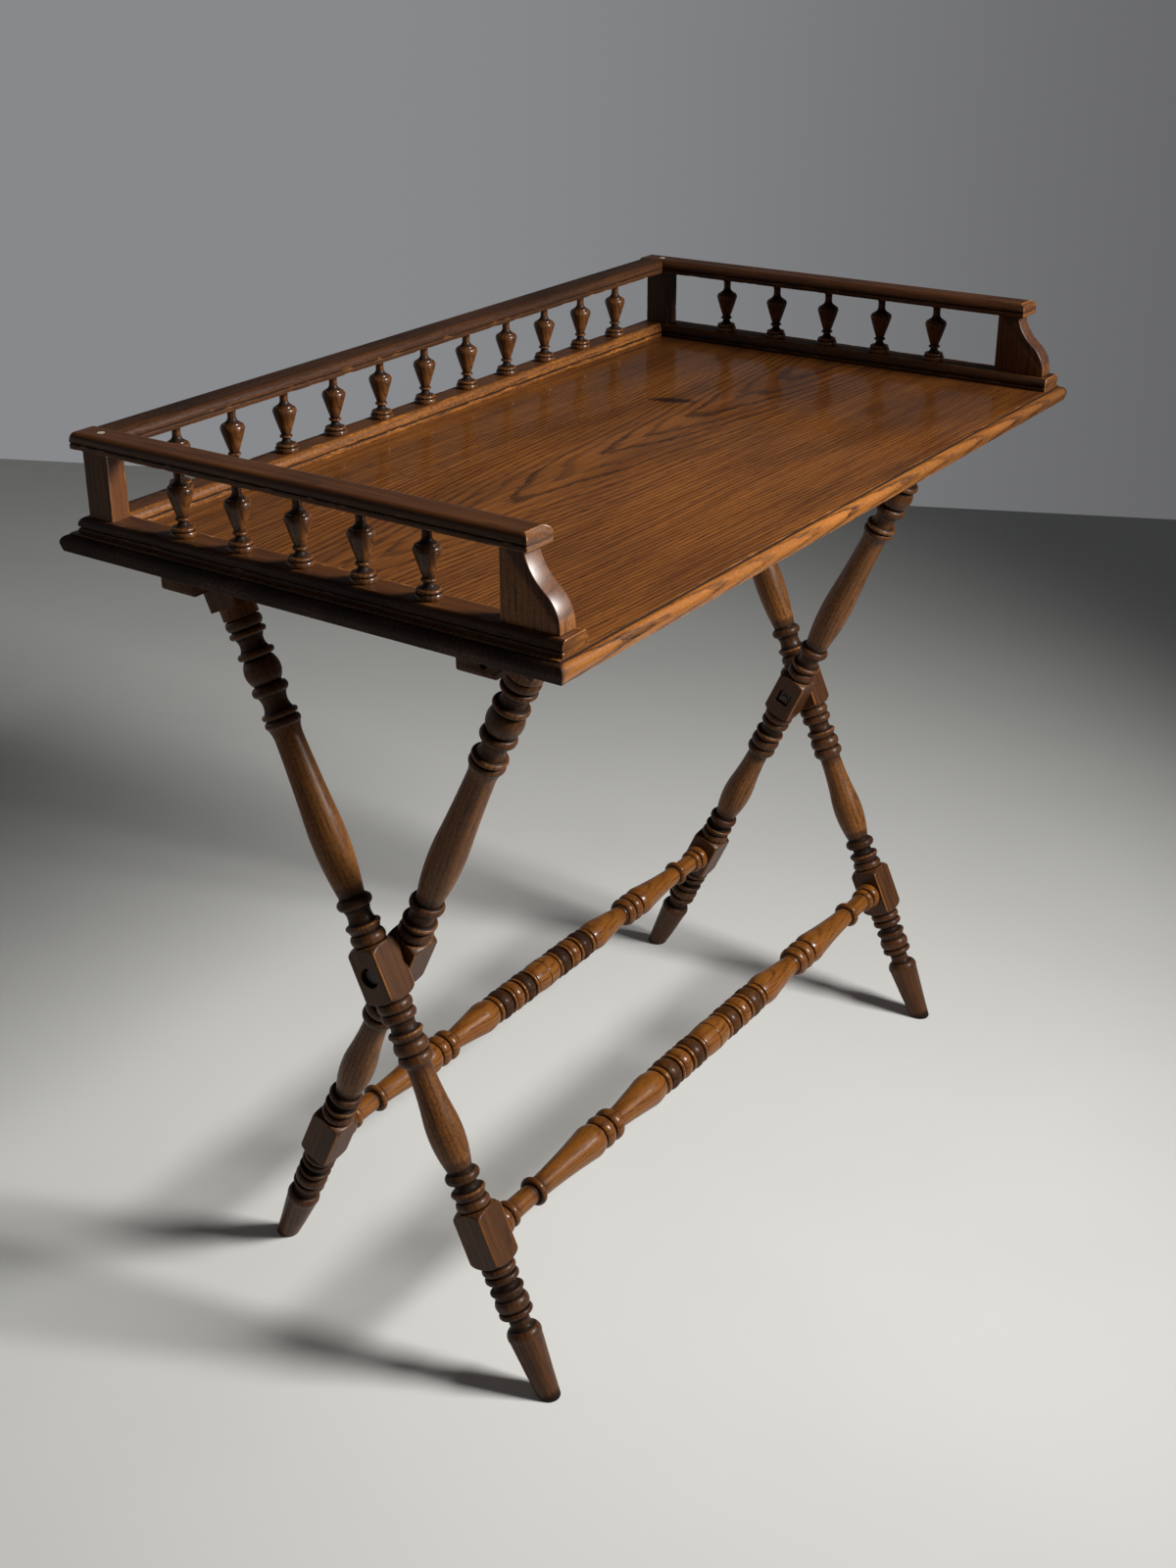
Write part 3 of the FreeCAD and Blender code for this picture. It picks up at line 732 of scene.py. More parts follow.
@dataclass(frozen=True)
class Turning:
    """Lathe outline as rows of a length share, then first, middle and last radius shares."""

    rows: Rows

    def outline(self, start: float, length: float, radius: float) -> list[Point]:
        """Outline as station and radius.

        Args:
            start: Station where the outline starts.
            length: Length of the whole outline.
            radius: Radius that the shares are of.

        Returns:
            The outline's points in order.
        """
        total = sum(row[0] for row in self.rows)
        points: list[Point] = []
        for run, first, *middle, last in self.rows:
            end = (start + length * run / total, radius * last)
            begin = (start, radius * first)
            points.append(begin)
            if middle:
                points += arc_between(begin, ((start + end[0]) / 2, radius * middle[0]), end)
            else:
                points.append(end)
            start = end[0]
        return points

    def reversed(self) -> Turning:
        """The same outline from its other end."""
        rows = ((run, last, *middle, first) for run, first, *middle, last in self.rows[::-1])
        return Turning(tuple(rows))


FOOT_TURNING = Turning((
    (57, 0.64, 0.95), (9, 0.95, 0.98, 0.82), (5, 0.74, 0.63, 0.59), (4.5, 0.59, 0.59),
    (3, 0.60, 0.66, 0.82), (5, 0.88, 0.97, 0.88), (1, 0.76, 0.76), (11, 0.84, 0.98, 0.84),
    (1, 0.76, 0.76), (5, 0.80, 0.85, 0.94), (3, 0.94, 0.97, 0.88), (7, 0.76, 0.62, 0.74),
    (6, 0.86, 0.98, 0.88), (1.5, 0.78, 0.78), (7, 0.84, 0.98, 0.86), (2, 0.84, 0.84),
))
LOWER_TURNING = Turning((
    (8.5, 0.84, 0.97, 0.84), (1, 0.76, 0.76), (5, 0.82, 0.86, 0.95), (3, 0.95, 0.98, 0.88),
    (8, 0.76, 0.63, 0.74), (8, 0.84, 0.98, 0.84), (2.5, 0.74, 0.70), (52, 0.70, 0.98, 0.90),
    (42, 0.90, 0.76, 0.70), (4, 0.70, 0.74, 0.84), (9, 0.86, 0.98, 0.86), (1, 0.78, 0.78),
    (11, 0.84, 0.98, 0.84), (1, 0.78, 0.78), (4.5, 0.82, 0.87, 0.96), (3, 0.96, 0.98, 0.88),
    (10, 0.78, 0.70, 0.78), (7.5, 0.86, 0.98, 0.86), (1, 0.78, 0.78), (9, 0.86, 0.98, 0.86),
    (1.2, 0.82, 0.82),
))
UPPER_TURNING = Turning((
    (10, 0.82, 0.98, 0.84), (1, 0.78, 0.78), (4.5, 0.82, 0.88, 0.96), (3, 0.96, 0.98, 0.88),
    (14, 0.78, 0.67, 0.78), (8, 0.86, 0.98, 0.84), (2.3, 0.76, 0.72), (75, 0.72, 0.97, 0.92),
    (61, 0.92, 0.83, 0.77), (12.5, 0.77, 0.79, 0.90), (6, 0.90, 0.98, 0.90), (1.5, 0.80, 0.80),
    (4.5, 0.88, 0.98, 0.90), (15, 0.80, 0.67, 0.80), (8, 0.86, 0.98, 0.84), (1.5, 0.74, 0.74),
    (21, 0.76, 0.98, 0.76), (1, 0.72, 0.72), (5.5, 0.84, 0.98, 0.88), (12.5, 0.78, 0.65, 0.78),
    (5, 0.88, 0.98, 0.88), (1.5, 0.80, 0.80), (8.5, 0.86, 0.98, 0.88), (1, 0.80, 0.80),
    (10.1, 0.96, 0.96),
))
HALF_STRETCHER_TURNING = Turning((
    (10, 0.76, 0.88, 0.74), (2, 0.62, 0.62), (8, 0.66, 0.80, 0.64), (30, 0.60, 0.58),
    (7, 0.62, 0.86, 0.62), (78, 0.60, 0.74, 0.99), (12, 0.99, 0.98, 0.86), (2, 0.74, 0.74),
    (13, 0.82, 0.99, 0.82), (2, 0.72, 0.72), (12, 0.82, 0.98, 0.80), (3, 0.70, 0.66),
    (52, 0.62, 0.79, 0.99), (17, 0.99, 0.97, 0.86), (2, 0.74, 0.74), (6, 0.80, 0.94, 0.80),
    (2, 0.76, 0.76), (15, 0.84, 0.99, 0.84), (1.5, 0.76, 0.76), (4, 0.84, 0.96, 0.84),
    (1.5, 0.76, 0.76), (13, 0.84, 0.99, 0.84), (1.5, 0.76, 0.76), (4, 0.84, 0.96, 0.84),
    (1.5, 0.76, 0.76), (14, 0.84, 0.99, 0.84), (1.5, 0.76, 0.76), (4.5, 0.84, 0.96, 0.86),
    (1, 0.78, 0.78), (19, 0.88, 0.97, 0.99), (1, 0.94, 0.94),
))
SPINDLE_TURNING = Turning((
    (4, 0.93, 1.00, 0.93), (0.6, 0.78, 0.78), (2.4, 0.84, 0.88, 0.78), (5, 0.64, 0.38, 0.33),
    (2, 0.44, 0.54, 0.44), (20, 0.36, 0.70, 1.00), (3.5, 1.00, 0.97, 0.84), (1, 0.72, 0.70),
    (4.5, 0.66, 0.42, 0.34), (6, 0.34, 0.34), (4, 0.36, 0.50, 0.72),
))


def densified(points: Sequence[Point], step: float, closed: bool) -> list[Point]:
    """A line with points added, so that no run is longer than a step.

    Args:
        points: The line's points.
        step: Longest run.
        closed: Whether the last point joins the first.

    Returns:
        The line with its added points.
    """
    line = [Vector(point) for point in points]
    ends = line[1:] + (line[:1] if closed else [])
    result: list[Point] = []
    for here, after in zip(line, ends):
        count = max(1, math.ceil((after - here).length / step))
        result += [tuple(here.lerp(after, index / count)) for index in range(count)]
    return result if closed else result + [tuple(line[-1])]


def lathe_age(outline: Sequence[Point]) -> tuple[np.ndarray, np.ndarray]:
    """How far each point of a lathe outline lies under or over its neighbourhood.

    Args:
        outline: Stations and radii.

    Returns:
        How far each point is sunk and how far it stands proud, from 0 to 1.
    """
    line = np.array(outline)
    even = np.arange(line[0, 0], line[-1, 0], LATHE_STEP)
    radii = np.interp(even, line[:, 0], line[:, 1])

    def mean(values: np.ndarray, window: float) -> np.ndarray:
        """Running mean over a window along the axis."""
        half = max(1, int(window / LATHE_STEP))
        padded = np.pad(values, half, mode="edge")
        return np.convolve(padded, np.full(2 * half + 1, 1 / (2 * half + 1)), mode="valid")

    rise = line[:, 1] - np.interp(line[:, 0], even, mean(radii, NARROW_WINDOW))
    spread = np.sqrt(mean((radii - mean(radii, BUSY_WINDOW)) ** 2, BUSY_WINDOW))
    busy = np.clip(np.interp(line[:, 0], even, spread) / BUSY_DEPTH - BUSY_START, 0, 1)
    hollow = np.clip(-rise / NARROW_DEPTH, 0, 1) + busy * BUSY_SHARE
    bead = np.clip(rise / NARROW_DEPTH, 0, 1) * BEAD_WEAR
    calm = np.clip(1 - 2 * busy, 0, 1) * CALM_WEAR
    return np.clip(hollow, 0, 1), np.maximum(bead, calm)


def corner_age(
    corners: Sequence[Point], points: np.ndarray, closed: bool
) -> tuple[np.ndarray, np.ndarray]:
    """How near points of a section are to its inner and outer corners.

    Args:
        corners: The section before easing, anticlockwise.
        points: Points to judge, one row each.
        closed: Whether the section joins up with itself.

    Returns:
        How near each point is to an inner and to an outer corner, from 0 to 1.
    """
    line = np.array(corners)
    before = line - np.roll(line, 1, axis=0)
    after = np.roll(line, -1, axis=0) - line
    cross = before[:, 0] * after[:, 1] - before[:, 1] * after[:, 0]
    turn = np.arctan2(cross, (before * after).sum(axis=1))
    if not closed:
        turn[[0, -1]] = 0
    ages = []
    for sign, reach in ((-1, HOLLOW_REACH), (1, CREST_REACH)):
        near = np.zeros(len(points))
        for place in line[sign * turn > CORNER_TURN]:
            near = np.maximum(near, 1 - np.linalg.norm(points - place, axis=1) / reach)
        ages.append(near)
    return ages[0], ages[1]


def coordinates(mesh: bpy.types.Mesh) -> np.ndarray:
    """All vertices of a mesh, one row each."""
    flat = np.zeros(len(mesh.vertices) * 3, np.float32)
    mesh.vertices.foreach_get("co", flat)
    return flat.reshape(-1, 3).astype(float)


def store(mesh: bpy.types.Mesh, name: str, values: np.ndarray) -> None:
    """Keep one number or vector for each vertex.

    Args:
        mesh: Mesh to add the attribute to.
        name: Name of the attribute.
        values: One number or one row of three for each vertex.
    """
    if name in mesh.attributes:
        mesh.attributes.remove(mesh.attributes[name])
    kind, key = ("FLOAT", "value") if values.ndim == 1 else ("FLOAT_VECTOR", "vector")
    made = mesh.attributes.new(name, kind, "POINT")
    made.data.foreach_set(key, values.astype(np.float32).ravel())


def store_grain(mesh: bpy.types.Mesh, grain: Grain, offset: Colour = (0.0, 0.0, 0.0)) -> None:
    """Keep each vertex's place along and across the grain.

    Args:
        mesh: Mesh to add the attribute to.
        grain: Direction of the grain.
        offset: Shift that gives the piece its own figure.
    """
    order = {Grain.X: (0, 1, 2), Grain.Y: (1, 0, 2), Grain.Z: (2, 0, 1)}[grain]
    store(mesh, "grain", coordinates(mesh)[:, order] + np.array(offset))


def mesh_from(name: str, vertices: np.ndarray, faces: Iterable[Sequence[int]]) -> bpy.types.Object:
    """An object in the scene from vertices and faces, its faces turned outwards.

    Args:
        name: Name of the object.
        vertices: Places, one row each.
        faces: Indices of each face's vertices.

    Returns:
        The object.
    """
    mesh = bpy.data.meshes.new(name)
    mesh.from_pydata(vertices.tolist(), [], [list(face) for face in faces])
    shell = bmesh.new()
    shell.from_mesh(mesh)
    bmesh.ops.recalc_face_normals(shell, faces=shell.faces)
    shell.to_mesh(mesh)
    shell.free()
    made = bpy.data.objects.new(name, mesh)
    bpy.context.scene.collection.objects.link(made)
    return made


def grid_faces(rows: int, columns: int, closed: bool = True) -> list[list[int]]:
    """Quads between rows of vertices.

    Args:
        rows: Number of rows.
        columns: Vertices in a row.
        closed: Whether each row joins up with itself.

    Returns:
        The quads.
    """
    last = columns if closed else columns - 1
    faces = []
    for row in range(rows - 1):
        for column in range(last):
            right = (column + 1) % columns
            low, high = row * columns, (row + 1) * columns
            faces.append([low + column, low + right, high + right, high + column])
    return faces


def smooth(mesh: bpy.types.Mesh) -> None:
    """Shade a mesh smooth, with sharp edges kept."""
    mesh.shade_smooth()
    mesh.set_sharp_from_angle(angle=RELIEF_ANGLE)


def plain(made: bpy.types.Object) -> bpy.types.Object:
    """Turn an object's modifiers into its plain mesh.

    Args:
        made: Object with live modifiers.

    Returns:
        The same object without modifiers.
    """
    graph = bpy.context.evaluated_depsgraph_get()
    graph.update()
    mesh = bpy.data.meshes.new_from_object(made.evaluated_get(graph), depsgraph=graph)
    made.modifiers.clear()
    made.data = mesh
    mesh.name = made.name
    return made


def dress(
    made: bpy.types.Object, material: bpy.types.Material, body: str, slot: str, *nodes: str
) -> None:
    """Give a finished piece its material and body, in place of the nodes that it stands for.

    Args:
        made: The piece.
        material: Its material.
        body: Body that it rides on.
        slot: Record slot of its finish; not used.
        nodes: Solids that it replaces.
    """
    made.data.materials.clear()
    made.data.materials.append(material)
    smooth(made.data)
    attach(made, body)
    if nodes:
        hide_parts(*nodes)
    LOG.info("%s: %d faces on %s", made.name, len(made.data.polygons), body)


def centre_of(node: str) -> Vector:
    """Middle of a solid's box."""
    low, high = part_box(node)
    return (low + high) / 2


class NodeTree:
    """A geometry tree built in the script, with named inputs."""

    def __init__(self, name: str, inputs: dict[str, str]) -> None:
        """Start a tree.

        Args:
            name: Name of the tree.
            inputs: Socket type of each named input.
        """
        self.tree = bpy.data.node_groups.new(name, "GeometryNodeTree")
        self.graph = Graph(self.tree)
        self.sockets: dict[str, str] = {}
        self.tree.interface.new_socket("Geometry", in_out="INPUT", socket_type="NodeSocketGeometry")
        for label, kind in inputs.items():
            socket = self.tree.interface.new_socket(label, in_out="INPUT", socket_type=kind)
            self.sockets[label] = socket.identifier
        self.tree.interface.new_socket("Geometry", in_out="OUTPUT",
                                       socket_type="NodeSocketGeometry")
        self.entry = self.tree.nodes.new("NodeGroupInput")

    def given(self, label: str) -> Value:
        """One of the tree's inputs."""
        return Value(self.graph, self.entry.outputs[label])

    def close(self, geometry: Value) -> None:
        """End the tree in plain geometry with its material.

        Args:
            geometry: What the tree makes.
        """
        real = self.graph.node("GeometryNodeRealizeInstances", None, {"Geometry": geometry})
        dressed = {"Geometry": real, "Material": self.given("Material")}
        finished = self.graph.node("GeometryNodeSetMaterial", None, dressed)
        self.graph.node("NodeGroupOutput", None, {0: finished})

    def apply(self, made: bpy.types.Object, values: dict[str, Any]) -> bpy.types.Object:
        """Run the tree on an object.

        Args:
            made: Object whose mesh goes in.
            values: Value of each named input.

        Returns:
            The object with the plain result as its mesh.
        """
        modifier = made.modifiers.new(self.tree.name, "NODES")
        modifier.node_group = self.tree
        for label, value in values.items():
            modifier[self.sockets[label]] = value
        return plain(made)


class Lathe(NodeTree):
    """Turns a line of radii about its own axis, a little out of true as hand work is."""

    def __init__(self) -> None:
        """Build the tree."""
        super().__init__("Lathe", {
            "Sides": "NodeSocketInt", "Untrue": "NodeSocketFloat", "Seed": "NodeSocketFloat",
            "Material": "NodeSocketMaterial",
        })
        graph = self.graph
        line = graph.node("GeometryNodeMeshToCurve", None, {"Mesh": self.given("Geometry")})
        circle = {"Resolution": self.given("Sides"), "Radius": 1.0}
        ring = graph.node("GeometryNodeCurvePrimitiveCircle", None, circle)
        sweep = {"Curve": line, "Profile Curve": ring, "Fill Caps": True}
        tube = graph.node("GeometryNodeCurveToMesh", None, sweep)
        place = graph.node("GeometryNodeInputPosition")
        x, y, z = graph.parts(place)
        reach = (x ** 2.0 + y ** 2.0) ** 0.5
        number = {"data_type": "FLOAT"}
        radius = graph.node("GeometryNodeInputNamedAttribute", number, {"Name": "turn_radius"})
        twist = {0: x / reach, 1: y / reach, 2: z * UNTRUE_TWIST + self.given("Seed")}
        shift = graph.node("ShaderNodeCombineXYZ", None, twist)
        uneven = graph.noise(shift, UNTRUE_SCALE, 2.0) - 0.5
        factor = radius * (1 + uneven * self.given("Untrue")) / reach
        moved = graph.node("ShaderNodeCombineXYZ", None, {0: x * factor, 1: y * factor, 2: z})
        placed = {"Geometry": tube, "Position": moved}
        self.close(graph.node("GeometryNodeSetPosition", None, placed))

    def turn(self, name: str, outline: Sequence[Point], material: bpy.types.Material, sides: int,
             untrue: float, seed: float, stained: Sequence[Point] = ()) -> bpy.types.Object:
        """Turn one piece about Z.

        Args:
            name: Name of the piece.
            outline: Stations along Z and radii.
            material: Material of the piece.
            sides: Number of sides round the axis.
            untrue: Share by which the radius may wander.
            seed: Choice of pattern.
            stained: Stations between which it is stained dark.

        Returns:
            The turned piece.
        """
        outline = densified(outline, LATHE_RUN, False)
        line = np.array(outline)
        line[:, 0] += np.arange(len(line)) * TINY
        hollow, crest = lathe_age(outline)
        for first, last in stained:
            hollow[(line[:, 0] >= first) & (line[:, 0] <= last)] = BAND_STAIN
        axis = np.column_stack([np.zeros((len(line), 2)), line[:, 0]])
        mesh = bpy.data.meshes.new(name)
        mesh.from_pydata(axis.tolist(), [(i, i + 1) for i in range(len(line) - 1)], [])
        store(mesh, "turn_radius", line[:, 1])
        store(mesh, "hollow", hollow)
        store(mesh, "crest", crest)
        made = bpy.data.objects.new(name, mesh)
        bpy.context.scene.collection.objects.link(made)
        values = {"Sides": sides, "Untrue": untrue, "Seed": seed, "Material": material}
        return self.apply(made, values)


class Row(NodeTree):
    """Sets one piece at many places, each turned by chance about Z."""

    def __init__(self) -> None:
        """Build the tree."""
        super().__init__("Row", {
            "Piece": "NodeSocketObject", "Turn": "NodeSocketFloat", "Seed": "NodeSocketInt",
            "Material": "NodeSocketMaterial",
        })
        graph = self.graph
        master = {"Object": self.given("Piece")}
        piece = graph.node("GeometryNodeObjectInfo", None, master, "Geometry")
        chance = {2: 0.0, 3: self.given("Turn"), "Seed": self.given("Seed")}
        angle = graph.node("FunctionNodeRandomValue", {"data_type": "FLOAT"}, chance, 1)
        turn = graph.node("ShaderNodeCombineXYZ", None, {2: angle})
        sets = {"Points": self.given("Geometry"), "Instance": piece, "Rotation": turn}
        self.close(graph.node("GeometryNodeInstanceOnPoints", None, sets))

    def set_out(self, name: str, piece: bpy.types.Object, places: np.ndarray,
                material: bpy.types.Material, turn: float, seed: int) -> bpy.types.Object:
        """Set a piece at each place and remove the loose one.

        Args:
            name: Name of the result.
            piece: Piece to repeat, standing at the origin.
            places: Where it goes, one row each.
            material: Material of the result.
            turn: Largest chance turn.
            seed: Choice of turns.

        Returns:
            All of them as one piece.
        """
        mesh = bpy.data.meshes.new(name)
        mesh.from_pydata(places.tolist(), [], [])
        made = bpy.data.objects.new(name, mesh)
        bpy.context.scene.collection.objects.link(made)
        self.apply(made, {"Piece": piece, "Turn": turn, "Seed": seed, "Material": material})
        bpy.data.objects.remove(piece)
        return made


def eased_copy(node: str, name: str, width: float) -> bpy.types.Object:
    """A copy of a solid with its arrises worn round.

    Args:
        node: Solid to copy.
        name: Name of the copy.
        width: Width of the worn arris.

    Returns:
        The copy.
    """
    source = bpy.data.objects[node]
    mesh = bpy.data.meshes.new(name)
    shell = bmesh.new()
    shell.from_mesh(source.data)
    bmesh.ops.remove_doubles(shell, verts=shell.verts, dist=MERGE_DISTANCE)
    bmesh.ops.dissolve_limit(shell, angle_limit=FLAT_ANGLE, verts=shell.verts, edges=shell.edges)
    joined = [edge for edge in shell.edges if len(edge.link_faces) == 2]
    sharp = [edge for edge in joined if edge.calc_face_angle() > RELIEF_ANGLE]
    bmesh.ops.bevel(shell, geom=sharp, offset=width, segments=3, profile=0.5,
                    affect="EDGES", clamp_overlap=True)
    bmesh.ops.recalc_face_normals(shell, faces=shell.faces)
    shell.to_mesh(mesh)
    shell.free()
    made = bpy.data.objects.new(name, mesh)
    bpy.context.scene.collection.objects.link(made)
    points = coordinates(mesh)
    low, high = points.min(axis=0), points.max(axis=0)
    near = np.sort(np.minimum(points - low, high - points), axis=1)
    store(mesh, "crest", np.clip(1 - near[:, 1] / (width * ARRIS_REACH), 0, 1))
    store(mesh, "hollow", np.zeros(len(points)))
    return made


@dataclass
class Bar:
    """A straight bar: one section swept along an axis, its arrises eased and nicked by use; one
    side may be darkened and the other brightened, as painted shade and painted highlight.
    """

    name: str
    section: list[Point]
    along: Grain
    origin: Point
    start: Callable[[np.ndarray], np.ndarray]
    end: Callable[[np.ndarray], np.ndarray]
    seed: int
    eased_ends: tuple[bool, bool] = (False, False)
    # The outer side is darkened by the stain share and the inner side brightened by the wear share;
    # on the plinths these are painted shade and painted highlight, and a large shift darkens the
    # whole bar.
    outer: int = 0
    stain_and_painted_shade: float = 0.0
    shift: float = 0.0
    wear: float = 0.0
    ease: float = 0.5 * MM
    spacing: float = 5.0 * MM
    detail: float = 1.6 * MM
    nick: float = 0.7 * MM
    long_ripple: float = 23.0 * MM
    short_ripple: float = 7.0 * MM
    lean_share: float = 0.4
    end_turn: tuple[Colour, ...] = ((0.0, 1.0, 0.4), (0.293, 0.293, 1.0))

    def build(self) -> bpy.types.Object:
        """Sweep the section.

        Returns:
            The bar with its grain, darkening and paling, which hold painted shade and painted
            highlight on some bars.
        """
        section = np.array(densified(eased(self.section, self.ease, True), self.detail, True))
        hollow, crest = corner_age(self.section, section, True)
        width = np.ptp(section[:, 0]) * self.lean_share
        # Darkening towards the outer side is painted shade, except on the back rail where it is
        # stain; brightening towards the inner side is a painted highlight.
        lean = np.clip(section[:, 0] * self.outer / width + self.shift, -1, 1)
        hollow = np.maximum(hollow, np.clip(lean, 0, 1) * self.stain_and_painted_shade)
        bright = np.clip(-lean, 0, 1) * self.wear
        rows = self._rows(section)
        count = len(rows)
        along = np.concatenate([row[0] for row in rows])
        side, height = np.concatenate([row[1] for row in rows]).T
        edge = np.concatenate([np.full(len(section), row[2]) for row in rows])
        hollow, crest, bright = (np.tile(age, count) for age in (hollow, crest, bright))
        middle = section.mean(axis=0)
        place = np.column_stack([along, side * 3, height * 3])
        rough = ripple(place, self.long_ripple, self.seed) * 0.6
        rough += ripple(place, self.short_ripple, self.seed + 1) * 0.5
        wear = self.nick * crest * np.clip(rough - 0.3, 0, 1)
        side = side + np.sign(middle[0] - side) * wear + self.origin[0]
        height = height + np.sign(middle[1] - height) * wear + self.origin[1]
        axes = {
            Grain.X: (along, side, height),
            Grain.Y: (side, along, height),
            Grain.Z: (side, height, along),
        }
        columns = len(section)
        faces = grid_faces(count, columns)
        faces.append(list(range(columns)))
        faces.append([(count - 1) * columns + index for index in range(columns)])
        made = mesh_from(self.name, np.column_stack(axes[self.along]), faces)
        store(made.data, "hollow", hollow * (1 - edge))
        crest = np.maximum(np.maximum(crest * 0.6, edge), bright) + wear / self.nick
        store(made.data, "crest", np.clip(crest, 0, 1))
        store_grain(made.data, self.along, (self.seed * 0.37, -self.origin[0], self.seed * 0.013))
        return made

    def _rows(self, section: np.ndarray) -> list[tuple[np.ndarray, np.ndarray, float]]:
        """Stations, outline and arris wear of each row along the bar.

        Args:
            section: The finished section.

        Returns:
            The rows from start to end.
        """
        first, last = self.start(section), self.end(section)
        lead, tail = (self.ease * 2 if there else 0.0 for there in self.eased_ends)
        tangent = np.roll(section, -1, axis=0) - np.roll(section, 1, axis=0)
        inward = np.column_stack([-tangent[:, 1], tangent[:, 0]])
        inward /= np.linalg.norm(inward, axis=1)[:, None]
        count = max(2, int((last - first).mean() / self.spacing))
        shares = np.linspace(0, 1, count + 1)
        run = last - tail - first - lead
        body = [(first + lead + run * share, section, 0.0) for share in shares]
        head, foot = [], []
        for out, deep, worn in self.end_turn:
            shrunk = section + inward * (self.ease * deep)
            if lead:
                head.append((first + lead * out, shrunk, worn))
            if tail:
                foot.insert(0, (last - tail * out, shrunk, worn))
        return head + body + foot


@dataclass
class Moulding:
    """Section of a gallery moulding: square band, quirk, then a rounded edge up to a flat top."""

    waist: float
    top: float
    band: float
    quirk: float

    def section(self, width: float, foot: float, height: float) -> list[Point]:
        """Closed section, anticlockwise, about its middle line.

        Args:
            width: Full width.
            foot: Height of its underside.
            height: Height of the section.

        Returns:
            The section's points.
        """
        base, waist, top = width / 2, self.waist / 2, self.top / 2
        shoulder = self.band + self.quirk
        bend = math.sqrt(0.5)
        rounded = (top + (base - top) * bend, shoulder + (height - shoulder) * bend)
        right = [(base, 0.0), (base, self.band), (waist, self.band)]
        right += [(waist, shoulder), (base, shoulder)]
        right += arc_between((base, shoulder), rounded, (top, height), 8)
        left = [(-side, rise) for side, rise in right[::-1]]
        return [(side, foot + rise) for side, rise in right + left]


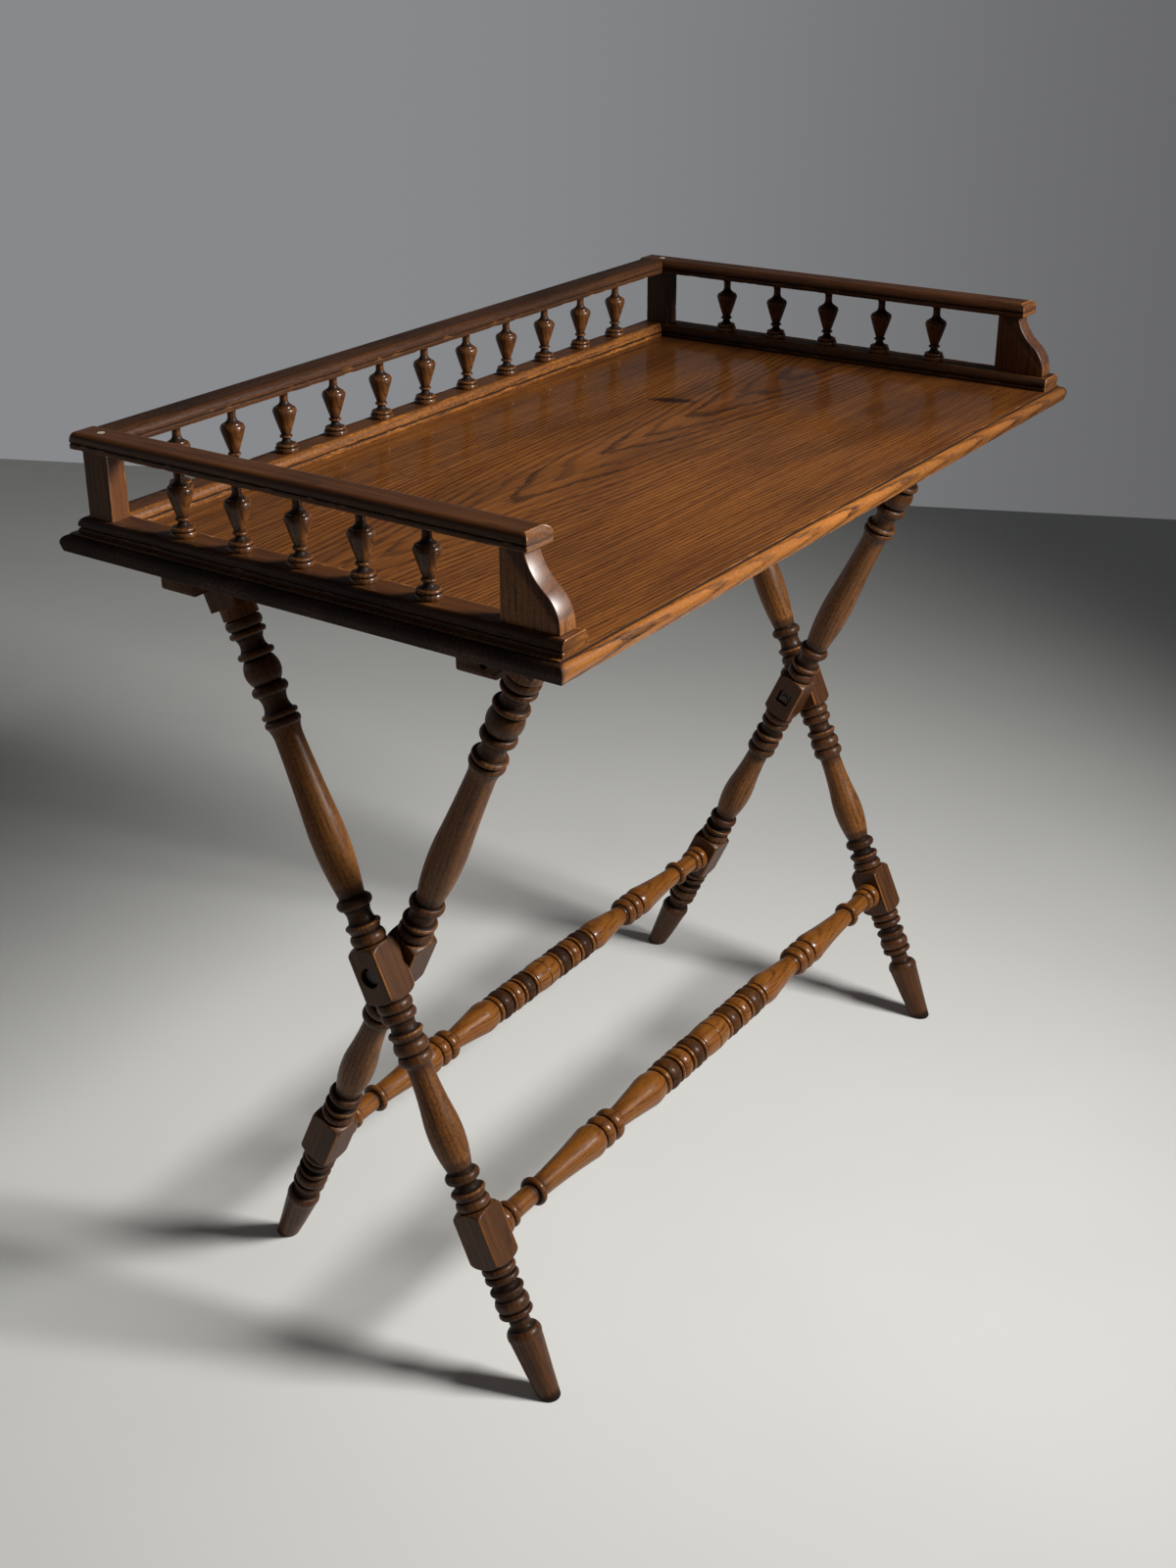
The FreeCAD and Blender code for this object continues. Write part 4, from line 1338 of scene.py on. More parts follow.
@dataclass
class Board:
    """The tray's board, with a stepped and rounded edge worn by use."""

    step_inset: float = 6.5 * MM
    step_drop: float = 1.5 * MM
    ledge: float = 0.8 * MM
    nose_drop: float = 8.5 * MM
    under_inset: float = 1.8 * MM
    edge_ease: float = 0.6 * MM
    edge_step: float = 1.2 * MM
    spacing: float = 5.0 * MM
    end_stain: float = 0.7
    front_paling: float = 0.5
    calm_reach: float = 40.0 * MM
    warp: float = 0.12 * MM
    warp_length: float = 90.0 * MM
    seed: int = 5

    def edge(self, low: float, high: float) -> list[Point]:
        """Inset and height of the edge from the underside up to the top.

        Args:
            low: Height of the underside.
            high: Height of the top.

        Returns:
            The edge's points.
        """
        shoulder = self.step_inset - self.ledge
        nose = (0.0, high - self.nose_drop)
        bend = 1 - math.sqrt(0.5)
        rise = (self.nose_drop - self.step_drop) * math.sqrt(0.5)
        rounded = (shoulder * bend, high - self.nose_drop + rise)
        points = [(self.under_inset + 4 * MM, low), (self.under_inset, low), nose]
        points += arc_between(nose, rounded, (shoulder, high - self.step_drop), 8)
        return points + [(self.step_inset, high - self.step_drop), (self.step_inset, high),
                         (self.step_inset + 4 * MM, high)]

    def build(self) -> bpy.types.Object:
        """Make the board as rings from the underside to the top, each face a grid.

        Returns:
            The board with its grain, its darkening and its paling.
        """
        low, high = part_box("tray_board")
        half = (high - low) / 2
        centre = (high + low) / 2
        counts = [int(half[axis] * 2 / self.spacing) for axis in (0, 1)]
        corners = self.edge(low.z, high.z)
        profile = densified(eased(corners, self.edge_ease, False), self.edge_step, False)
        outward = np.array([-1.0, 1.0])
        hollow, crest = corner_age(np.array(corners) * outward, np.array(profile) * outward, False)
        unit = self._ring(counts)
        at_end = np.isclose(np.abs(unit[:, 0]), 1)
        ends = at_end * self.end_stain
        # The front edge, outside the step, is made paler.
        front = np.isclose(unit[:, 1], -1) * (1 - at_end) * self.front_paling
        rings, ages = [], []
        for (inset, height), dark, proud in zip(profile, hollow, crest):
            reach = np.array([half.x - inset, half.y - inset])
            ring = np.column_stack([unit * reach + np.array(centre.xy), np.full(len(unit), height)])
            rough = ripple(ring, 26.0 * MM, self.seed)
            fine = ripple(ring, 8.0 * MM, self.seed + 1)
            wear = proud * np.clip(rough * 0.55 + fine * 0.5 - 0.25, 0, 1)
            ring[:, :2] -= unit * (wear * 0.8 * MM)[:, None]
            ring[:, 2] -= wear * 0.5 * MM * (1 if inset > self.ledge else 0)
            rings.append(ring)
            outside = inset < self.step_inset - self.ledge
            shade = np.maximum(dark, ends * outside)
            bright = np.maximum(proud * 0.6, front * outside) + wear
            ages.append(np.column_stack([shade, np.clip(bright, 0, 1)]))
        vertices = np.concatenate(rings)
        ages = np.concatenate(ages)
        faces = grid_faces(len(rings), len(unit))
        for ring_index in (0, len(rings) - 1):
            vertices, ages, more = self._fill(vertices, ages, ring_index * len(unit), counts)
            faces += more
        made = mesh_from("tray_board_dressed", vertices, faces)
        store(made.data, "hollow", ages[:, 0])
        store(made.data, "crest", ages[:, 1])
        store_grain(made.data, Grain.X, (0.0, 0.0, -high.z))
        return made

    @staticmethod
    def _ring(counts: Sequence[int]) -> np.ndarray:
        """Points round a square of half-side 1, evenly spaced on each side.

        Args:
            counts: Number of steps along X and along Y.

        Returns:
            The points, anticlockwise from the front left corner.
        """
        x = np.linspace(-1, 1, counts[0] + 1)
        y = np.linspace(-1, 1, counts[1] + 1)
        front = np.column_stack([x[:-1], np.full(counts[0], -1.0)])
        right = np.column_stack([np.full(counts[1], 1.0), y[:-1]])
        return np.concatenate([front, right, -front, -right])

    def _fill(self, vertices: np.ndarray, ages: np.ndarray, first: int, counts: Sequence[int]
              ) -> tuple[np.ndarray, np.ndarray, list[list[int]]]:
        """Grid across a ring, a little uneven as old boards are.

        Args:
            vertices: Vertices so far.
            ages: Darkening and paling so far.
            first: Index of the ring's first vertex.
            counts: Steps along X and along Y.

        Returns:
            The vertices and ages with the grid's own added, and its faces.
        """
        columns, rows = counts
        around = 2 * (columns + rows)
        index = np.zeros((rows + 1, columns + 1), int)
        index[0, :] = first + np.arange(columns + 1)
        index[:, columns] = first + columns + np.arange(rows + 1)
        index[rows, ::-1] = first + columns + rows + np.arange(columns + 1)
        left = first + 2 * columns + rows + np.arange(rows + 1)
        index[::-1, 0] = np.where(left - first >= around, first, left)
        inner = index[1:-1, 1:-1]
        inner[:] = len(vertices) + np.arange(inner.size).reshape(inner.shape)
        xs = vertices[first:first + columns + 1, 0][1:-1]
        ys = vertices[first + columns:first + columns + rows + 1, 1][1:-1]
        grid_x, grid_y = np.meshgrid(xs, ys)
        level = np.full(grid_x.size, vertices[first, 2])
        flat = np.column_stack([grid_x.ravel(), grid_y.ravel(), level])
        x, y = flat[:, 0], flat[:, 1]
        edge = np.minimum.reduce([x - xs[0], xs[-1] - x, y - ys[0], ys[-1] - y])
        calm = np.clip(edge / self.calm_reach, 0, 1)
        uneven = 1 + ripple(flat * np.array([0.5, 1, 1]), self.warp_length, self.seed + 2)
        flat[:, 2] -= calm * self.warp * uneven
        faces = [[index[r, c], index[r, c + 1], index[r + 1, c + 1], index[r + 1, c]]
                 for r in range(rows) for c in range(columns)]
        ages = np.concatenate([ages, np.zeros((len(flat), 2))])
        return np.concatenate([vertices, flat]), ages, faces


@dataclass
class Gallery:
    """The tray's gallery: plinths, rails, posts, scrolls and spindles round three sides."""

    lathe: Lathe
    row: Row
    plinth: Moulding
    rail: Moulding
    side_spindles: int = 5
    back_spindles: int = 11
    rail_end_round: float = 5.0 * MM
    # Plinths: outer sides darkened as painted shade, inner sides brightened as a painted highlight.
    plinth_painted_shade: float = 0.5
    plinth_back_painted_highlight: float = 0.5
    plinth_side_painted_highlight: float = 0.4
    # The back rail's darkening is its own stain.
    rail_back_stain: float = 0.5
    # The right-hand rail, post and scroll are darkened all over: painted shade.
    rail_right_painted_shade: float = 0.4
    post_right_painted_shade: float = 0.5
    scroll_right_painted_shade: float = 0.45
    post_ease: float = 0.9 * MM
    peg_proud: float = 0.15 * MM
    spindle_sides: int = 32
    spindle_ease: float = 0.45 * MM
    spindle_untrue: float = 0.006
    spindle_shift: Colour = (0.4, 0.008, 0.008)

    def build(self) -> None:
        """Build and dress every piece of the gallery."""
        dark = GALLERY_OAK.build()
        sheen = SCROLL_OAK.build()
        self._plinths(dark)
        self._rails(dark)
        # The right-hand post and scroll are darkened all over as painted shade.
        for side, seed, right in (("left", 51, 0.0), ("right", 52, 1.0)):
            self._post(f"corner_post_{side}", dark, seed, self.post_right_painted_shade * right)
            self._scroll(f"scroll_{side}", dark, sheen, self.scroll_right_painted_shade * right)
        self._spindles(SPINDLE_OAK.build())
        peg = PEG_WOOD.build()
        for side in ("left", "right"):
            bpy.data.objects[f"corner_peg_{side}"].material_slots[0].material = peg

    @staticmethod
    def _frame_of(node: str, across: int) -> tuple[float, float, Vector, Vector]:
        """Middle line and width of a gallery bar.

        Args:
            node: Solid of the bar.
            across: Axis across the bar.

        Returns:
            Line, width, and the corners of its box.
        """
        low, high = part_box(node)
        return (low[across] + high[across]) / 2, high[across] - low[across], low, high

    def _plinths(self, material: bpy.types.Material) -> None:
        """Plinths, mitred at the back corners.

        Args:
            material: Their oak.
        """
        back_line, width, low, high = self._frame_of("plinth_back", 1)
        section = self.plinth.section(width, low.z, high.z - low.z)
        corner = self._frame_of("plinth_right", 0)[0]
        # The back plinth is darkened at the back as painted shade and brightened at the front as a
        # painted highlight.
        back = Bar("plinth_back_dressed", section, Grain.X, (back_line, 0.0),
                   lambda points: -corner - points[:, 0], lambda points: corner + points[:, 0], 21,
                   outer=1, stain_and_painted_shade=self.plinth_painted_shade, wear=self.plinth_back_painted_highlight)
        dress(back.build(), material, "tray", "gallery_oak", "plinth_back")
        for side, seed in ((-1, 22), (1, 23)):
            node = "plinth_right" if side > 0 else "plinth_left"
            line, _, low, _ = self._frame_of(node, 0)
            front = low.y
            # The left plinth is darkened outside and brightened inside; the right plinth is
            # darkened all over: painted shade and painted highlight.
            bar = Bar(node + "_dressed", section, Grain.Y, (line, 0.0),
                      lambda points, y=front: np.full(len(points), y),
                      lambda points, s=side: back_line + s * points[:, 0], seed, (True, False),
                      outer=side, stain_and_painted_shade=self.plinth_painted_shade, shift=ALL_OVER if side > 0 else 0.0,
                      wear=self.plinth_side_painted_highlight)
            dress(bar.build(), material, "tray", "gallery_oak", node)

    def _rails(self, material: bpy.types.Material) -> None:
        """Rails, rounded over at the front and scribed together at the back.

        Args:
            material: Their oak.
        """
        back_line, width, low, high = self._frame_of("rail_back", 1)
        top = high.z - self.peg_proud
        section = self.rail.section(width, low.z, top - low.z)
        right = np.array([point for point in section if point[0] > 0])
        right = right[np.argsort(right[:, 1])]
        corner = self._frame_of("rail_right", 0)[0]

        def scribe(points: np.ndarray) -> np.ndarray:
            """Where the back rail ends against the side rail."""
            return corner - np.interp(points[:, 1], right[:, 1], right[:, 0])

        # The back rail is darkened all over by its own stain.
        back = Bar("rail_back_dressed", section, Grain.X, (back_line, 0.0),
                   lambda points: -scribe(points), scribe, 31,
                   outer=1, stain_and_painted_shade=self.rail_back_stain, shift=ALL_OVER)
        dress(back.build(), material, "tray", "gallery_oak", "rail_back")
        for side, seed in ((-1, 32), (1, 33)):
            node = "rail_right" if side > 0 else "rail_left"
            line, _, low, high = self._frame_of(node, 0)
            front, end = low.y, high.y

            def rounded(points: np.ndarray, y: float = front) -> np.ndarray:
                """Where the side rail's rounded front ends."""
                drop = np.clip(points[:, 1] - top + self.rail_end_round, 0, self.rail_end_round)
                return y + self.rail_end_round - np.sqrt(self.rail_end_round ** 2 - drop ** 2)

            # The right-hand side rail is darkened all over: painted shade.
            bar = Bar(node + "_dressed", section, Grain.Y, (line, 0.0), rounded,
                      lambda points, y=end: np.full(len(points), y), seed, (True, True),
                      outer=side, stain_and_painted_shade=self.rail_right_painted_shade if side > 0 else 0.0, shift=ALL_OVER)
            dress(bar.build(), material, "tray", "gallery_oak", node)

    def _post(self, node: str, material: bpy.types.Material, seed: int, stain_and_painted_shade: float) -> None:
        """A corner post.

        Args:
            node: Solid that it stands for.
            material: Its oak.
            seed: Choice of figure.
            stain_and_painted_shade: Darkness all over; painted shade on the right-hand post.
        """
        low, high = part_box(node)
        middle, half = (low + high) / 2, (high - low) / 2
        section = [(half.x, half.y), (-half.x, half.y), (-half.x, -half.y), (half.x, -half.y)]
        bar = Bar(node + "_dressed", section, Grain.Z, (middle.x, middle.y),
                  lambda points: np.full(len(points), low.z),
                  lambda points: np.full(len(points), high.z),
                  seed, outer=1, stain_and_painted_shade=stain_and_painted_shade, shift=ALL_OVER, ease=self.post_ease)
        dress(bar.build(), material, "tray", "gallery_oak", node)

    @staticmethod
    def _scroll(node: str, material: bpy.types.Material, sheen: bpy.types.Material,
                stain_and_painted_shade: float) -> None:
        """A scroll with worn arrises and a shining front.

        Args:
            node: Solid that it stands for.
            material: Oak of its sides.
            sheen: Oak of its front.
            stain_and_painted_shade: Darkness all over; painted shade on the right-hand scroll.
        """
        made = eased_copy(node, node + "_dressed", SCROLL_ARRIS)
        middle = centre_of(node)
        store_grain(made.data, Grain.Z, (middle.x * 3, -middle.x, -middle.y))
        # Darkening all over; on the right-hand scroll this is painted shade.
        store(made.data, "hollow", np.full(len(made.data.vertices), stain_and_painted_shade))
        dress(made, material, "tray", "gallery_oak", node)
        made.data.materials.append(sheen)
        for face in made.data.polygons:
            face.material_index = int(abs(face.normal.x) < SIDE_COSINE)

    def _spindles(self, material: bpy.types.Material) -> None:
        """All the spindles, turned once and set out along the gallery.

        Args:
            material: Their oak.
        """
        nodes = [f"spindle_{side}_{number}" for side in ("left", "right")
                 for number in range(1, self.side_spindles + 1)]
        nodes += [f"spindle_back_{number}" for number in range(1, self.back_spindles + 1)]
        low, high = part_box(nodes[0])
        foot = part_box("plinth_left")[1].z
        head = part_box("rail_left")[0].z
        radius = (high.x - low.x) / 2
        turned = SPINDLE_TURNING.outline(0.0, head - foot, radius)
        outline = eased(turned, self.spindle_ease, False)
        piece = self.lathe.turn("spindle_master", outline, material, self.spindle_sides,
                                self.spindle_untrue, 3.0)
        places = np.array([(*centre_of(node).xy, foot) for node in nodes])
        made = self.row.set_out("spindles_dressed", piece, places, material, 2 * math.pi, 11)
        points = coordinates(made.data)
        nearest = np.argmin(((points[:, None, :2] - places[None, :, :2]) ** 2).sum(axis=2), axis=1)
        own = points - places[nearest]
        chance = np.random.default_rng(17).uniform(-1, 1, (len(places), 3))
        shift = chance * np.array(self.spindle_shift)
        store(made.data, "grain", own[:, (2, 0, 1)] + shift[nearest])
        dress(made, material, "tray", "spindle_oak", *nodes)


@dataclass
class Leg:
    """One turned leg with square blocks, a round nose and a foot cut at the floor."""

    node: str
    body: str
    lean: float
    pivot: Vector
    nose: float
    seed: int
    stretcher_station: float = 154.0 * MM
    stretcher_block: float = 52.0 * MM
    crossing_block: float = 25.0 * MM
    top_block: float = 28.0 * MM
    block_round: float = 11.0 * MM
    clear_share: float = 1.5
    shoulder_share: float = 0.84
    pommel_shares: Point = (0.3, 0.7)
    soft_edge: float = 0.9 * MM
    foot_blend: float = 22.0 * MM
    corner_power: float = 26.0
    foot_dark: float = 75.0 * MM
    foot_wear: float = 0.25
    sole_ease: float = 1.2 * MM
    sole_reach: float = 9.0 * MM
    sole_dirt: float = 0.8
    outline_ease: float = 0.4 * MM
    wobble: float = 0.006
    wobble_twist: float = 40.0
    nose_rows: int = 14
    nose_shares: Point = (0.06, 0.985)
    age_reach: float = 3.0 * MM
    arris_shares: Point = (0.86, 0.96)
    arris_wear: float = 0.8
    bore_reach: float = 11.0 * MM
    bore_skin: float = 0.6 * MM
    bunching: float = 0.65
    columns: int = 24

    def __post_init__(self) -> None:
        """Read the leg's own sizes from its solid."""
        low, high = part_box(self.node)
        self.half = (high.x - low.x) / 2
        self.x = (high.x + low.x) / 2
        self.pivot_station = self.pivot.z / math.cos(self.lean)
        foot_y = self.pivot.y + self.pivot.z * math.tan(self.lean)
        self.place = Matrix.Translation((self.x, foot_y, 0)) @ Matrix.Rotation(self.lean, 4, "X")

    def block(self, start: float, end: float) -> list[Point]:
        """Lathe outline past a square block, with a pommel at each end.

        Args:
            start: Station where the block starts.
            end: Station where it ends.

        Returns:
            The outline's points.
        """
        root = self.half * self.shoulder_share
        clear = self.half * self.clear_share
        along, out = self.pommel_shares
        bend = root + (clear - root) * out
        points = [(start, root)]
        rise, reach = self.block_round * along, self.block_round
        points += arc_between(points[0], (start + rise, bend), (start + reach, clear))
        points.append((end - reach, clear))
        points += arc_between(points[-1], (end - rise, bend), (end, root))
        return points

    def outline(self) -> list[Point]:
        """Whole lathe outline from the sole to the nose.

        Returns:
            Stations and radii.
        """
        foot_end = self.stretcher_station - self.stretcher_block / 2
        block_end = self.stretcher_station + self.stretcher_block / 2
        middle, reach = self.pivot_station, self.crossing_block
        crossing = (middle - reach, middle + reach)
        head = self.nose - self.top_block
        foot = FOOT_TURNING.outline(0.0, foot_end, self.half)
        sole = foot[0][1]
        points = [(0.0, sole - self.sole_ease), (self.sole_ease, sole), *foot[1:]]
        points += self.block(foot_end, block_end)
        points += LOWER_TURNING.outline(block_end, crossing[0] - block_end, self.half)
        points += self.block(*crossing)
        points += UPPER_TURNING.outline(crossing[1], head - crossing[1], self.half)
        points += [(head, self.half * self.clear_share), (self.nose, self.half * self.clear_share)]
        return densified(eased(points, self.outline_ease, False), LATHE_RUN, False)

    def angles(self) -> np.ndarray:
        """Angles round the leg, closer together at the corners of the square.

        Returns:
            The angles of one full turn.
        """
        even = np.linspace(-1, 1, self.columns + 1)[:-1]
        bunched = even * (1 - self.bunching + self.bunching * np.abs(even))
        quarter = math.pi / 4 * (1 + bunched)
        return np.concatenate([quarter + math.pi / 2 * turn for turn in range(4)])

    def build(self, material: bpy.types.Material) -> bpy.types.Object:
        """Make the leg in its place.

        Args:
            material: Its oak.

        Returns:
            The leg without its bores.
        """
        line = np.array(self.outline())
        angles = self.angles()
        power = self.corner_power
        square = np.abs(np.cos(angles)) ** power + np.abs(np.sin(angles)) ** power
        square = self.half * square ** (-1 / power)
        phase = angles * 2 + line[:, 0][:, None] * self.wobble_twist + self.seed
        turned = line[:, 1][:, None] * (1 + self.wobble * np.sin(phase))
        lean = np.clip(0.5 + 0.5 * (square[None, :] - turned) / self.soft_edge, 0, 1)
        radius = square[None, :] * (1 - lean) + turned * lean - self.soft_edge * lean * (1 - lean)
        x = radius * np.cos(angles)
        y = radius * np.sin(angles)
        z = np.repeat(line[:, 0][:, None], len(angles), axis=1)
        blend = np.clip(1 - z / self.foot_blend, 0, 1)
        z = z - blend * y * math.tan(self.lean)
        bow = np.linspace(*self.nose_shares, self.nose_rows) * math.pi / 2
        last_x, last_y = x[-1], y[-1]
        for angle in bow:
            limit = self.half * math.cos(angle)
            x = np.vstack([x, last_x])
            y = np.vstack([y, np.clip(last_y, -limit, limit)])
            z = np.vstack([z, np.full(len(angles), self.nose + self.half * math.sin(angle))])
        vertices = np.column_stack([x.ravel(), y.ravel(), z.ravel()])
        rows, columns = x.shape
        faces = grid_faces(rows, columns)
        faces.append(list(range(columns)))
        faces.append([(rows - 1) * columns + index for index in range(columns)])
        made = mesh_from(self.node + "_dressed", vertices, faces)
        made.data.transform(self.place)
        made.data.materials.append(material)
        return made

    def age(self, made: bpy.types.Object) -> None:
        """Keep grain, darkening and paling on the finished leg; inside the bores the darkening is
        painted shade.

        Args:
            made: The leg with its bores cut.
        """
        points = coordinates(made.data)
        back = np.array(self.place.inverted())
        own = points @ back[:3, :3].T + back[:3, 3]
        outline = self.outline()
        line = np.array(outline)
        within = [(station, min(radius, self.half)) for station, radius in outline]
        hollow, crest = lathe_age(within)
        inside = line[:, 1] <= self.half * INSIDE_SHARE
        line, hollow, crest = line[inside], hollow[inside], crest[inside]
        station, reach = own[:, 2], np.hypot(own[:, 0], own[:, 1])
        nearest = np.zeros(len(own), int)
        for start in range(0, len(own), AGE_BATCH):
            part = slice(start, start + AGE_BATCH)
            gap = (station[part][:, None] - line[None, :, 0]) ** 2
            gap += (reach[part][:, None] - line[None, :, 1]) ** 2
            nearest[part] = gap.argmin(axis=1)
        gap = np.abs(station - line[nearest, 0]) + np.abs(reach - line[nearest, 1])
        near = np.clip(1 - gap / self.age_reach, 0, 1)
        corner = np.minimum(np.abs(own[:, 0]), np.abs(own[:, 1])) / self.half
        first, full = self.arris_shares
        arris = np.clip((corner - first) / (full - first), 0, 1)
        # Inside the bolt recess and the nut pocket the leg is darkened fully: painted shade.
        bore = np.hypot(own[:, 1], station - self.pivot_station) < self.bore_reach
        sunk = bore & (np.abs(own[:, 0]) < self.half - self.bore_skin)
        sole = np.clip(1 - station / self.sole_reach, 0, 1) * self.sole_dirt
        upper = np.clip(station / self.foot_dark - 1, 0, 1)
        dark = np.maximum(np.maximum(hollow[nearest] * near, sole), sunk * 1.0)
        store(made.data, "hollow", dark)
        rubbed = crest[nearest] * near * (self.foot_wear + (1 - self.foot_wear) * upper)
        store(made.data, "crest", np.maximum(rubbed, arris * (1 - sunk) * self.arris_wear))
        offset = np.array([self.seed * 0.61, 0.004 * self.seed, -0.003 * self.seed])
        store(made.data, "grain", own[:, (2, 0, 1)] + offset)


@dataclass
class Stand:
    """The X stand: two frames of turned legs and stretchers, joined by bolts at their crossings."""

    lathe: Lathe
    pivot: Vector
    hinge: Vector
    recess_radius: float = 9.0 * MM
    recess_depth: float = 9.0 * MM
    pocket_side: float = 14.5 * MM
    pocket_depth: float = 8.0 * MM
    overrun: float = 4.0 * MM
    pocket_ease: float = 1.2 * MM
    fitting_ease: float = 0.7 * MM
    stretcher_ease: float = 0.6 * MM
    stretcher_sides: int = 64
    stretcher_untrue: float = 0.012
    max_share: float = 0.99
    dark_bands: tuple[Point, ...] = ((258.0, 273.0), (300.0, 314.0))
    bore_sides: int = 40

    def __post_init__(self) -> None:
        """Work out the lean of the legs and where their noses are."""
        self.lean = math.atan2(self.pivot.y - self.hinge.y, self.hinge.z - self.pivot.z)
        self.nose = self.hinge.z / math.cos(self.lean)

    def build(self) -> None:
        """Build and dress every piece of the stand."""
        oak = LEG_OAK.build()
        iron = BLACK_IRON.build()
        for side, seed in (("left", 1), ("right", 2)):
            outer = Leg(f"leg_outer_{side}", "outer_frame", -self.lean, self.pivot, self.nose, seed)
            self._leg(outer, oak, self._recess(outer))
            inner = Leg(f"leg_inner_{side}", "inner_frame", self.lean, self.pivot, self.nose,
                        seed + 2)
            self._leg(inner, oak, self._pocket(inner))
            for fitting in ("pivot_bolt", "pivot_nut"):
                node = f"{fitting}_{side}"
                made = eased_copy(node, node + "_dressed", self.fitting_ease)
                dress(made, iron, "inner_frame", "black_iron", node)
        rail = STRETCHER_OAK.build()
        self._stretcher("front", "outer", rail, 4.0)
        self._stretcher("back", "inner", rail, 9.0)

    def _leg(self, leg: Leg, material: bpy.types.Material, cutter: bpy.types.Object) -> None:
        """One leg with its bore cut.

        Args:
            leg: The leg.
            material: Its oak.
            cutter: Shape of the bore, used up here.
        """
        made = leg.build(material)
        cut = made.modifiers.new("bore", "BOOLEAN")
        cut.operation = "DIFFERENCE"
        cut.object = cutter
        cut.solver = "EXACT"
        plain(made)
        bpy.data.objects.remove(cutter)
        leg.age(made)
        dress(made, material, leg.body, "leg_oak", leg.node)

    def _recess(self, leg: Leg) -> bpy.types.Object:
        """Round recess for a bolt's head, in the outer face of an outer leg.

        Args:
            leg: The leg.

        Returns:
            The cutter.
        """
        out = 1 if leg.x > 0 else -1
        face = leg.x + out * leg.half
        ends = (face - out * self.recess_depth, face + out * self.overrun)
        turn = np.linspace(0, 2 * math.pi, self.bore_sides, endpoint=False)
        ring = np.column_stack([np.cos(turn), np.sin(turn)]) * self.recess_radius
        return self._prism("recess_cutter", ring, ends)

    def _pocket(self, leg: Leg) -> bpy.types.Object:
        """Square pocket for a nut, in the inner face of an inner leg and in line with it.

        Args:
            leg: The leg.

        Returns:
            The cutter.
        """
        inward = -1 if leg.x > 0 else 1
        face = leg.x + inward * leg.half
        ends = (face - inward * self.pocket_depth, face + inward * self.overrun)
        half = self.pocket_side / 2
        square = [(half, half), (-half, half), (-half, -half), (half, -half)]
        corners = eased(square, self.pocket_ease, True)
        cos, sin = math.cos(leg.lean), math.sin(leg.lean)
        ring = np.array([(y * cos - z * sin, y * sin + z * cos) for y, z in corners])
        return self._prism("pocket_cutter", ring, ends)

    def _prism(self, name: str, ring: np.ndarray, ends: Point) -> bpy.types.Object:
        """Straight prism along X about the pivot.

        Args:
            name: Name of the prism.
            ring: Its section in Y and Z.
            ends: Where it starts and ends.

        Returns:
            The prism.
        """
        placed = ring + np.array([self.pivot.y, self.pivot.z])
        rows = [np.column_stack([np.full(len(ring), end), placed]) for end in ends]
        faces = grid_faces(2, len(ring))
        faces += [list(range(len(ring))), list(range(len(ring), 2 * len(ring)))]
        return mesh_from(name, np.concatenate(rows), faces)

    def _stretcher(self, name: str, frame: str, material: bpy.types.Material, seed: float) -> None:
        """One turned stretcher between two legs.

        Args:
            name: Front or back.
            frame: Outer or inner.
            material: Its oak.
            seed: Choice of pattern.
        """
        node = f"stretcher_{name}"
        low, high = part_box(node)
        radius = (high.z - low.z) / 2 / self.max_share
        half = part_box(f"leg_{frame}_right")[0].x
        rows = HALF_STRETCHER_TURNING.rows + HALF_STRETCHER_TURNING.reversed().rows
        turned = Turning(rows).outline(-half, 2 * half, radius)
        outline = eased(turned, self.stretcher_ease, False)
        total = sum(row[0] for row in HALF_STRETCHER_TURNING.rows)
        scale = half / total
        bands = [((start - total) * scale, (end - total) * scale) for start, end in self.dark_bands]
        bands += [(-end, -start) for start, end in bands]
        made = self.lathe.turn(node + "_dressed", outline, material, self.stretcher_sides,
                               self.stretcher_untrue, seed, bands)
        across = Matrix.Rotation(math.pi / 2, 4, "Y")
        made.data.transform(Matrix.Translation(centre_of(node)) @ across)
        store_grain(made.data, Grain.X, (seed, -low.y, -low.z))
        dress(made, material, f"{frame}_frame", "stretcher_oak", node)


